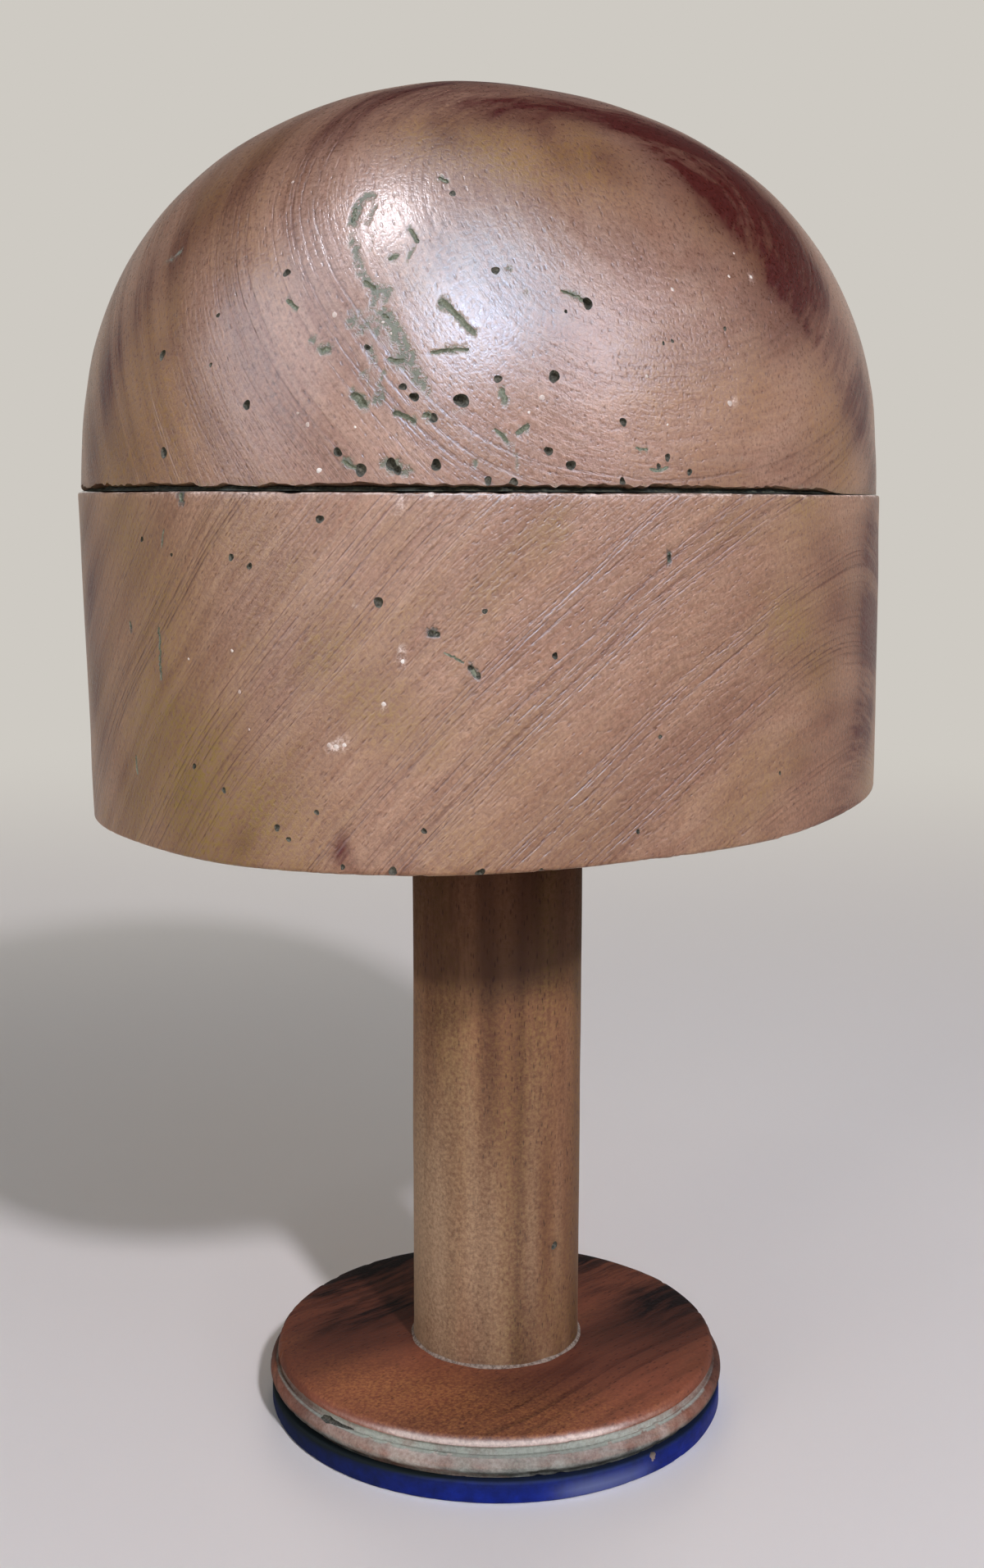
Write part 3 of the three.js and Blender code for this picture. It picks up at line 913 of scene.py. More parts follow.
BAND_MARKS = BoardMarks(
    bores=(
        (390, 633, 1.5), (282, 680, 1.3), (304, 691, 1.2), (173, 658, 1.1), (462, 735, 1.8),
        (526, 773, 1.3), (574, 815, 1.1), (583, 824, 1.2), (677, 800, 1.2), (591, 746, 1.0),
        (237, 935, 1.1), (338, 1010, 1.3), (517, 1014, 1.1), (805, 899, 0.9), (352, 1024, 1.0),
        (273, 964, 1.1), (386, 991, 1.0), (816, 680, 1.1), (533, 774, 1.1), (209, 677, 0.7),
        (951, 943, 0.8), (778, 1015, 0.9), (479, 1064, 1.7), (586, 1065, 1.8), (418, 1058, 1.0),
        (660, 1061, 0.8),
    ),
    galleries=(
        (((194, 765), (195, 785), (195, 808), (197, 830)), 0.9, 0.3),
        (((158, 758), (160, 768)), 0.8, 0.2), (((166, 922), (167, 933), (168, 945)), 0.9, 0.25),
        (((200, 646), (199, 656), (197, 668)), 0.7, 0.12),
        (((221, 601), (221, 607), (222, 613)), 1.7, 0.6),
        (((522, 774), (529, 772), (535, 775)), 1.4, 0.4),
        (((816, 674), (816, 681), (815, 686)), 1.0, 0.35),
        (((573, 812), (577, 819), (583, 827)), 1.3, 0.4),
        (((541, 796), (553, 802), (566, 809)), 0.7, 0.15, 0.3),
    ),
    # Dark heartwood, and painted shade down the band's two ends.
    heart=(
        (1066, 640, 12, 0.9), (1066, 700, 13, 1.0), (1064, 760, 12, 0.9), (1060, 820, 11, 0.9),
        (1055, 880, 10, 0.85), (1045, 930, 10, 0.85), (1020, 975, 9, 0.75), (985, 1003, 7, 0.6),
        (940, 1018, 5, 0.5), (1020, 720, 9, 0.5), (1010, 860, 9, 0.5), (980, 940, 7, 0.35),
        (900, 700, 12, 0.2), (1000, 650, 8, 0.3), (106, 650, 10, 0.6), (108, 720, 10, 0.6),
        (112, 800, 10, 0.55), (120, 880, 9, 0.5), (150, 940, 6, 0.35), (195, 820, 3.5, 0.35),
        (417, 1020, 1.5, 0.5), (416, 1034, 1.8, 0.7), (418, 1046, 2.0, 0.8), (424, 1056, 2.2, 0.8),
        (500, 1062, 3, 0.6), (560, 1064, 3, 0.3), (800, 1047, 4, 0.4), (300, 1032, 4, 0.3),
        (350, 800, 10, 0.15), (640, 1000, 9, 0.1),
    ),
    amber=(
        (150, 640, 12, 0.6), (200, 730, 14, 0.6), (190, 880, 16, 0.6), (250, 960, 16, 0.65),
        (340, 1000, 12, 0.6), (480, 880, 8, 0.6), (420, 830, 8, 0.5), (560, 1040, 10, 0.4),
        (980, 640, 8, 0.4), (965, 760, 8, 0.5), (1000, 820, 8, 0.5), (240, 1020, 10, 0.8),
        (700, 1010, 14, 0.3), (300, 650, 10, 0.4),
    ),
    # Rubbed pale spots; the streak at pixel (937, 640) is a painted highlight.
    rubbed=(
        (411, 909, 1.0, 0.9), (402, 911, 1.0, 0.6), (421, 907, 1.0, 0.6), (489, 790, 0.9, 0.5),
        (491, 808, 1.0, 0.7), (488, 798, 0.9, 0.5), (433, 737, 1.0, 0.35), (590, 746, 0.9, 0.3),
        (468, 861, 1.0, 0.45), (937, 640, 2.5, 0.2), (600, 700, 14, 0.05), (487, 618, 1.8, 0.4),
    ),
)
# Flecks of dried paint and plaster on the block: pixel, then width.
PALE_SPECKS = (
    (408, 384, 1.3), (389, 574, 1.3), (526, 604, 1.3), (820, 353, 1.1), (789, 459, 0.9), (890, 492, 1.6),
    (661, 485, 1.4), (375, 518, 1.1), (363, 504, 0.7), (645, 503, 0.7), (283, 794, 0.8), (230, 804, 0.7),
    (292, 844, 1.0), (468, 859, 1.1), (401, 909, 1.1), (410, 911, 1.2), (420, 909, 1.0), (357, 222, 0.9),
    (433, 521, 0.6), (814, 518, 0.6), (916, 338, 1.0), (491, 807, 1.0), (889, 337, 0.9), (895, 309, 0.7),
    (304, 890, 0.6), (548, 384, 0.6), (467, 393, 0.7), (477, 407, 0.6),
)

# Numbers of a carved piece's materials: its wood comes first.
BORED, TRACKED = 1, 2
DOWELS = tuple(f"crown_dowel_{number}" for number in range(1, 5))
# Radius and strength of the dirt round the mouth of a flight hole.
MOUTH_DIRT = (1.0, 0.15)
# Corners of a square, and the level direction to the photograph's left.
SQUARE = np.array([[1, 1], [-1, 1], [-1, -1], [1, -1]])
TO_LEFT = np.array([-0.81, 0.58])


@dataclass(frozen=True)
class BlockForm:
    """Form that the two boards share: an oval plan, drawn in at the brow, and a domed tip."""

    length: float = 196.0
    width: float = 157.0
    oval_power: float = 2.33
    brow_taper: float = 0.06
    lean: float = 1.7
    side_power: float = 2.42
    tip_power: float = 2.11
    tip_shift: float = 4.0
    setback: float = 0.9
    opening: float = 1.4
    opening_depth: float = 8.0
    open_side: float = math.radians(-132)
    open_reach: float = math.radians(63)
    closing_reach: float = math.radians(14)
    brow_rise: float = 5.3
    brow_rise_start: float = 22.0
    columns: int = 800

    def angles(self) -> Array:
        """Angles of the columns, from +X."""
        return np.arange(self.columns) * TURN / self.columns

    def oval(self, scale: Array, grown: float, centre_x: Array | float) -> Array:
        """Plan rings of the block.

        At angle a the radius is scale / ((|cos a| / L) ** p + (|sin a| / W) ** p) ** (1 / p), and y is
        then multiplied by 1 - taper * x / L, where L and W are the half length and half width.

        Args:
            scale: share of the full plan, one for each ring.
            grown: length added to L and W.
            centre_x: middle of each ring.

        Returns:
            Array (rings, columns, 2).
        """
        angle = self.angles()
        half_length, half_width = self.length / 2 + grown, self.width / 2 + grown
        reach = (np.abs(np.cos(angle)) / half_length) ** self.oval_power
        reach = reach + (np.abs(np.sin(angle)) / half_width) ** self.oval_power
        radius = scale[:, None] / reach ** (1 / self.oval_power)
        x = radius * np.cos(angle)
        y = radius * np.sin(angle) * (1 - self.brow_taper * x / half_length)
        return np.stack([x + np.reshape(centre_x, (-1, 1)), y], axis=-1)

    def joint_opening(self) -> Array:
        """Height of the open joint at each column: full near its middle, eased to nothing beyond."""
        away = np.arccos(np.clip(np.cos(self.angles() - self.open_side), -1, 1))
        return self.opening * (1 - eased(np.clip((away - self.open_reach) / self.closing_reach, 0, 1)))

    def underside(self, x: Array) -> Array:
        """Height of the block's underside: level, then rising evenly towards the brow."""
        run = self.length / 2 - self.brow_rise_start
        return STEM_TOP + np.maximum(x - self.brow_rise_start, 0) * self.brow_rise / run


@dataclass
class CarvedBoard(Seeded):
    """A board of the block: what both boards need to be cut, marked and dressed."""

    form: BlockForm
    wood: CarvedHardwood
    marks: BoardMarks
    seed: int
    unseen_count: int
    unseen_rise: tuple[float, float]
    surface: BVHTree | None = field(default=None, init=False)

    def bore_cutters(self, materials: list[Material], rng: Rng) -> tuple[list[Piece], list[Array]]:
        """Round cutters for flight holes, each leaning at random and rounded at its floor of dust.

        Args:
            materials: the board's materials.
            rng: source of the lean and the depth.

        Returns:
            The cutters, and the places of their mouths.
        """
        hits = [(*PHOTO.cast((x, y), self.surface), width) for x, y, width in self.marks.bores]
        hits.extend(self.unseen_bores(rng))
        cutters = []
        for number, (place, normal, width) in enumerate(hits):
            lean = rng.normal(0, 0.2, 3)
            inward = unit(-normal + lean - np.dot(lean, normal) * normal)
            floor = rng.uniform(0.3, 0.85) * width
            depths = np.array([-0.6, -0.1, 0.15, 0.4 * floor, 0.8 * floor, floor])
            radii = width / 2 * np.array([1.2, 1.12, 1.0, 0.95, 0.85, 0.5])
            path = place + depths[:, None] * inward
            cutters.append(tube(f"bore_{number}", path, radii, materials, rng, 16, BORED))
        return cutters, [place for place, _, _ in hits]

    def unseen_bores(self, rng: Rng) -> list[tuple[Array, Array, float]]:
        """Flight holes on the side that the photograph doesn't show, cast from all round at random.

        Args:
            rng: source of the directions and the widths.

        Returns:
            Place, normal and width of each.
        """
        found = []
        middle, far, joint_room, floor_room = Vector((0.0, 0.0, JOINT)), 400, 4, 8
        while len(found) < self.unseen_count:
            turn = rng.uniform(math.radians(-30), math.radians(150))
            rise = rng.uniform(*self.unseen_rise)
            level = math.cos(rise)
            away = Vector((math.cos(turn) * level, math.sin(turn) * level, math.sin(rise)))
            point, normal, _, _ = self.surface.ray_cast(middle + away * far, -away)
            if point is None or abs(point.z - JOINT) <= joint_room or point.z <= STEM_TOP + floor_room:
                continue
            found.append((np.array(point), np.array(normal), rng.uniform(0.9, 2.0)))
        return found

    def gallery_cutters(self, materials: list[Material], rng: Rng) -> tuple[list[Piece], list[Spot]]:
        """Cutters that plough a shallow groove along the surface.

        The route is filled in every few pixels. At each point a circle of radius
        (w * w / 4 + d * d) / (2 * d) dips d below the surface, which opens it w wide. Random
        factors make w and d waver along the groove, and both shrink at its ends.

        Args:
            materials: the board's materials.
            rng: source of the unevenness.

        Returns:
            The cutters, and the stains along them.
        """
        cutters, stains = [], []
        step, fewest = 3, 7
        for number, row in enumerate(self.marks.galleries):
            track = Gallery(*row)
            pixels = np.array(track.route, float)
            run = np.concatenate([[0], np.cumsum(np.linalg.norm(np.diff(pixels, axis=0), axis=1))])
            count = max(fewest, int(run[-1] / step))
            at = np.linspace(0, run[-1], count)
            line = np.stack([np.interp(at, run, pixels[:, axis]) for axis in (0, 1)], axis=-1)
            line[1:-1] += rng.normal(0, 0.5, (count - 2, 2))
            hits = [PHOTO.cast(tuple(pixel), self.surface) for pixel in line]
            points, normals = (np.array(part) for part in zip(*hits))
            ends = np.clip(2.5 * np.sin(np.linspace(0.07, 0.93, count) * math.pi), 0.3, 1)
            beside = points + rng.normal(0, 0.12 * track.width, (count, 3))
            reach = track.width * rng.uniform(0.35, 0.6, count)
            stains.extend(zip(beside, reach, rng.uniform(0.75, 1.1, count) * track.stain))
            if track.depth:
                width = 0.7 * track.width * ends * rng.uniform(0.75, 1.15, count)
                depth = track.depth * ends * rng.uniform(0.7, 1.2, count)
                radii = (width**2 / 4 + depth**2) / (2 * depth)
                path = points + normals * (radii - depth)[:, None]
                cutters.append(tube(f"track_{number}", path, radii, materials, rng, 32, TRACKED))
        return cutters, stains

    def dowel_cutters(self, materials: list[Material]) -> list[Piece]:
        """Straight cutters for the dowels' holes, larger all round than the dowels by the clearance.

        Args:
            materials: the board's materials.

        Returns:
            The cutters.
        """
        cutters, end_room = [], 1.5
        for name in DOWELS:
            low, high = span(name)
            middle, radius = (low + high) / 2, (high[0] - low[0]) / 2 + CLEARANCE
            profile = [(radius, low[2] - end_room), (radius, high[2] + end_room)]
            cutters.append(skin(name + "_hole", lathe_rings(profile, 32) + [*middle[:2], 0], materials))
        return cutters

    def carved(self, name: str, cut_faces: list[Material]) -> tuple[Piece, Array, dict[Mark, Array]]:
        """Makes the board, cuts its holes and tracks, and works out what the photograph shows on it.

        Args:
            name: name of the piece.
            cut_faces: materials of bored and of tracked wood.

        Returns:
            The piece, its vertices, and its marks.
        """
        rng = np.random.default_rng(self.seed)
        rings, outer = self.rings()
        self.surface = BVHTree.FromPolygons(outer.reshape(-1, 3).tolist(), wrapped(outer, False))
        materials = [self.wood.build(), *cut_faces]
        piece = skin(name, rings, materials)
        bores, mouths = self.bore_cutters(materials, rng)
        tracks, stains = self.gallery_cutters(materials, rng)
        carve(piece, [*bores, *tracks, *self.dowel_cutters(materials)])
        smooth(piece)
        points = vertices_mm(piece)
        # Heart places include painted shade along the rims, and a rubbed place can be a painted highlight.
        rows = (self.marks.heart, self.marks.amber, self.marks.rubbed)
        marks = {
            mark: glow(points, PHOTO.spots(places, self.surface))
            for mark, places in zip((Mark.HEART, Mark.AMBER, Mark.WEAR), rows)
        }
        marks[Mark.GRIME] = glow(points, [*((place, *MOUTH_DIRT) for place in mouths), *stains])
        return piece, points, marks


@dataclass
class CrownTop(CarvedBoard):
    """Upper board, carved to a dome."""

    rows: int = 84
    hand_waver: float = 0.22
    waver_cells: Pixel = (26, 9)
    rag: float = 0.45
    rag_cells: Pixel = (1.5, 5)
    lip: float = 2.5

    def rings(self) -> tuple[Array, Array]:
        """Rings of the board from the middle of its underside to its tip.

        The dome's rise is sin(t pi / 2), its plan is (1 - rise ** a) ** (1 / b) of the foot's, and its
        middle moves back as the plan shrinks. The lower edge stands off by the joint's opening,
        and its arris is broken by noise.

        Returns:
            Array (rows, columns, 3), and the rings of the dome.
        """
        form = self.form
        foot_x = -form.lean / 2
        t = np.linspace(0, 1, self.rows + 1)[:-1]
        rise = np.sin(t * math.pi / 2)
        scale = (1 - rise**form.side_power) ** (1 / form.tip_power)
        plan = form.oval(scale, -form.setback, foot_x - form.tip_shift * (1 - scale))
        opening = form.joint_opening()
        height = JOINT + (CROWN_TOP - JOINT) * rise[:, None]
        dome = raised(plan, height + opening * decay(height - JOINT, self.lip))
        above_foot = np.clip(t[:, None] * 12, 0, 1)
        dome = pushed(dome, self.stray(dome, self.waver_cells) * above_foot)
        fine, coarse = self.rag_cells
        ragged = self.rag * (self.noise(dome[0], fine, 2) + self.noise(dome[0], coarse, 3))
        dome[0, :, 2] = np.maximum(dome[0, :, 2] + ragged * opening / form.opening, JOINT)
        shares = np.array([0.3, 1 - form.opening_depth / (form.width / 2)])
        inner = raised(form.oval(shares, -form.setback, foot_x), JOINT)
        under = inner[1:] + (dome[:1] - inner[1:]) * 0.93
        return np.concatenate([inner, under, dome]), dome

    def build(self, cut_faces: list[Material]) -> Piece:
        """Makes the board and dresses it, with dust along the joint.

        Args:
            cut_faces: materials of bored and of tracked wood.

        Returns:
            The finished piece.
        """
        piece, points, marks = self.carved("crown_board", cut_faces)
        marks[Mark.GRIME] += 0.4 * decay(points[:, 2] - JOINT - 1, 0.8)
        paint(piece, marks)
        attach(piece, Rider.BLOCK.value)
        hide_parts("crown_top")
        return piece


@dataclass
class CrownBand(CarvedBoard):
    """Lower board, an oval band with the bore for the peg."""

    lower_round: float = 1.2
    upper_round: float = 0.7
    bore_end_room: float = 2.0
    mouth_chamfer: float = 1.0
    wall_rows: int = 46
    hand_waver: float = 0.16
    waver_cells: Pixel = (30, 11)
    worn_above: float = 0.45
    worn_below: float = 0.7

    def rings(self) -> tuple[Array, Array]:
        """Rings from the bore's end down the bore, out under the board, up the wall and in over it.

        The wall leans evenly from the underside to the joint, and both its arrises are quarter
        rounds broken by noise.

        Returns:
            Array (rows, columns, 3), and the rings of the wall.
        """
        form, chamfer, end = self.form, self.mouth_chamfer, PEG[1, 2] + self.bore_end_room
        bore = PEG_RADIUS + CLEARANCE
        profile = [(bore * 0.4, end), (bore, end), (bore, STEM_TOP + chamfer), (bore + chamfer, STEM_TOP)]
        hole = lathe_rings(refined(profile, 4.0), form.columns)

        wall = JOINT - STEM_TOP
        turn = np.linspace(0, 0.25, 6) * TURN
        rising, levelling = 1 - np.cos(turn), 1 - np.sin(turn)
        low, high = self.lower_round * rising, wall - self.upper_round * levelling
        straight = np.linspace(low[-1], high[0], self.wall_rows)[1:-1]
        height = np.concatenate([low, straight, high])
        inset = [self.lower_round * levelling, 0 * straight, self.upper_round * rising]
        scale = 1 - np.concatenate(inset) / (form.width / 2)
        plan = form.oval(scale, 0.0, form.lean * (0.5 - height / wall))
        floor = form.underside(plan[..., 0])
        side = raised(plan, floor + height[:, None] * (JOINT - floor) / wall)
        chips = self.knocks(side, 1.2, 2, 0.2, 0.45) + self.knocks(side, 4.0, 3, 0.5, 0.9)
        edges = decay(wall - height, self.worn_above) + 0.6 * decay(height, self.worn_below)
        side = pushed(side, self.stray(side, self.waver_cells) - chips * edges[:, None])
        side[..., 2] = np.minimum(side[..., 2], JOINT)

        outward = np.linspace(0, 1, 14)[1:-1, None, None]
        under = hole[-1] + (side[0] - hole[-1]) * outward
        under[..., 2] = form.underside(under[..., 0])
        inward = np.array([0.15, 0.5, 0.8])[:, None, None]
        inner = raised((side[-1] * (1 - inward))[..., :2], JOINT)
        return np.concatenate([hole, under, side, inner]), side

    def build(self, cut_faces: list[Material]) -> Piece:
        """Makes the board and dresses it, rubbed pale along both arrises, with a painted highlight along
        the upper one.

        Args:
            cut_faces: materials of bored and of tracked wood.

        Returns:
            The finished piece.
        """
        piece, points, marks = self.carved("band_board", cut_faces)
        above = points[:, 2] - self.form.underside(points[:, 0])
        # Pale along both arrises: worn wood, and on the upper arris a painted highlight too.
        wear = 0.8 * bell((JOINT - points[:, 2]).clip(0), 0.7) + 0.2 * bell(above, 1.2)
        wear *= off_axis(points) > self.form.width / 2 - 6
        marks[Mark.WEAR] += wear * (0.75 + 0.5 * self.noise(points, 2.5, 4))
        paint(piece, marks)
        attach(piece, Rider.BLOCK.value)
        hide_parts("crown_band")
        return piece


@dataclass
class JointDust(Seeded):
    """Crumbs and dust that have packed into the open joint between the boards."""

    form: BlockForm
    finish: PlainCrust
    seed: int
    recess: float = 1.1
    depth: float = 4.0
    # Places round the strip's section: share of the depth, then share of the joint's height.
    section: tuple[Pixel, ...] = ((0, 0.02), (0.35, 0.5), (0.6, 0.95), (1, 0.9), (1.6, 0.5), (1.9, 0.02))

    def build(self) -> Piece:
        """Makes the strip: a low ridge round the open stretch, its front wavering with noise.

        Returns:
            The finished piece.
        """
        form = self.form
        opening = form.joint_opening() * 0.8 + 0.02
        base = form.oval(np.ones(1), -form.setback - self.recess, -form.lean / 2)[0]
        flat = raised(base, JOINT)
        waver = 0.9 * (self.noise(flat, 1.2) + self.noise(flat, 6, 1))
        crumbs = 0.75 + 0.25 * self.noise(flat, 3)
        rings = []
        for inward, height in self.section:
            reach = waver * (1 - inward / 2) - inward * self.depth / 2
            level = JOINT + 0.03 + opening * height * crumbs
            rings.append(raised(base + unit(base) * reach[:, None], level))
        piece = skin("joint_dust", np.array(rings), [self.finish.build()], closed=True)
        smooth(piece, 60)
        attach(piece, Rider.BLOCK.value)
        return piece


@dataclass
class PaleSpecks:
    """Specks of dried paint and plaster that were flicked on the block."""

    crown: CarvedBoard
    band: CarvedBoard
    finish: PlainCrust
    seed: int
    joint_row: float = 600.0

    def build(self) -> Piece:
        """Makes all specks as one piece: each a low lens of rings 1, 0.8 and 0.35 of its width.

        Returns:
            The finished piece.
        """
        rng = np.random.default_rng(self.seed)
        material = self.finish.build()
        lenses = []
        for number, (x, y, width) in enumerate(PALE_SPECKS):
            board = self.crown if y < self.joint_row else self.band
            place, normal = PHOTO.cast((x, y), board.surface)
            path = place + normal * np.array([-0.15, 0.02, 0.08])[:, None]
            radii = width / 2 * np.array([1.0, 0.8, 0.35])
            lenses.append(tube(f"speck_{number}", path, radii, [material], rng, 9))
        piece = lenses[0]
        bpy.context.view_layer.update()
        chosen = {"selected_editable_objects": lenses, "selected_objects": lenses}
        with bpy.context.temp_override(active_object=piece, **chosen):
            bpy.ops.object.join()
        piece.name = piece.data.name = "pale_specks"
        smooth(piece, 70)
        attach(piece, Rider.BLOCK.value)
        return piece


@dataclass
class Stem(Seeded):
    """Turned stem with the bore for the peg and a wedged tenon through the base disc."""

    wood: CarvedHardwood
    seed: int
    diameter: float = 42.4
    tenon: float = 28.0
    top_round: float = 1.0
    bore: float = 13.0
    bore_chamfer: float = 1.0
    columns: int = 288
    hand_waver: float = 0.12
    waver_cells: Pixel = (9, 3.5)
    dent: Pixel = (676, 1520)
    painted_shadow_from: float = 111.5

    def build(self, cut_faces: list[Material]) -> Piece:
        """Makes the stem: tenon, shoulder, wall, rounded top, and the bore down to its floor.

        Args:
            cut_faces: materials of bored and of tracked wood.

        Returns:
            The finished piece.
        """
        radius, small, bore = self.diameter / 2, self.top_round, self.bore
        profile = [
            (self.tenon / 4, FOOT_TOP), (self.tenon / 2, FOOT_TOP), (self.tenon / 2, BASE_TOP),
            (radius, BASE_TOP), (radius, STEM_TOP - small),
            *quarter_round((radius - small, STEM_TOP - small), (small, small), 0, 0.25, 5),
            (bore + self.bore_chamfer, STEM_TOP), (bore, STEM_TOP - self.bore_chamfer),
            (bore, PEG[0, 2]), (bore * 0.4, PEG[0, 2]),
        ]
        rings = lathe_rings(refined(profile, 2.0), self.columns)
        ends = np.clip((rings[..., 2] - BASE_TOP) / 4, 0, 1) * np.clip((STEM_TOP - rings[..., 2]) / 4, 0, 1)
        wall = ends * (off_axis(rings) > radius - 0.2)
        rings = pushed(rings, self.stray(rings * [1, 1, 0.25], self.waver_cells) * wall)
        materials = [self.wood.build(), *cut_faces]
        piece = skin("stem_turned", rings, materials)
        place, normal = PHOTO.cast(self.dent, surface_of(piece))
        path = place - np.linspace(-0.6, 1.2, 5)[:, None] * normal
        path += np.linspace(0, 0.4, 5)[:, None] * [0, 0, 1]
        radii = np.array([1.1, 1.0, 0.9, 0.7, 0.3])
        dent = tube("dent", path, radii, materials, np.random.default_rng(self.seed), 16, BORED)
        carve(piece, [dent, self.kerf_cutter(materials)])
        smooth(piece)
        self.mark(piece, vertices_mm(piece), place)
        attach(piece, Rider.STAND.value)
        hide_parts("stem")
        return piece

    def mark(self, piece: Piece, points: Array, dent: Array) -> None:
        """Streaks the stem, makes it paler low down and towards the left, darkens it at its foot, and
        paints the block's shadow on its top, darker upwards.

        Args:
            piece: the stem.
            points: its vertices.
            dent: place of the dent.
        """
        height, aside = points[:, 2] - BASE_TOP, points[:, :2] @ TO_LEFT
        low = height / (STEM_TOP - BASE_TOP)
        drawn = points * [1, 1, 0.08]
        blotches = 0.3 * self.noise(drawn, 4, 3)
        # Painted shadow of the block on the stem's top: its edge slants like the cast shadow's, and it
        # darkens upwards.
        above = points[:, 2] - self.painted_shadow_from + 0.13 * aside
        painted_block_shadow = np.clip(above / 7 + 0.5, 0, 1) * (0.55 + 0.15 * np.clip(above / 35, 0, 1))
        # Paler low down and towards the left; the heart mark makes it darker towards the top and the right.
        rubbed = 0.48 + 0.015 * aside - blotches
        paint(piece, {
            Mark.AMBER: 0.4 + 0.5 * self.noise(drawn, 6, 2),
            Mark.GRIME: 0.35 * decay(height, 3.0) + glow(points, [(dent, 2.0, 0.5)]) + painted_block_shadow,
            Mark.HEART: 0.1 + 0.15 * low - 0.006 * aside + blotches,
            Mark.WEAR: rubbed * np.clip(1.35 - 1.6 * low, 0, 1),
        })

    def kerf_cutter(self, materials: list[Material]) -> Piece:
        """Cutter for the wedge's kerf, larger than the wedge by the clearance and open below.

        Args:
            materials: the stem's materials.

        Returns:
            The cutter.
        """
        low, high = span("stem_wedge")
        wide = SQUARE * [high[0] + CLEARANCE, self.tenon / 2 + CLEARANCE]
        ends = [raised(wide, low[2] - 1), raised(wide * [0.55, 1], high[2] + CLEARANCE)]
        return skin("kerf", np.array(ends), materials)


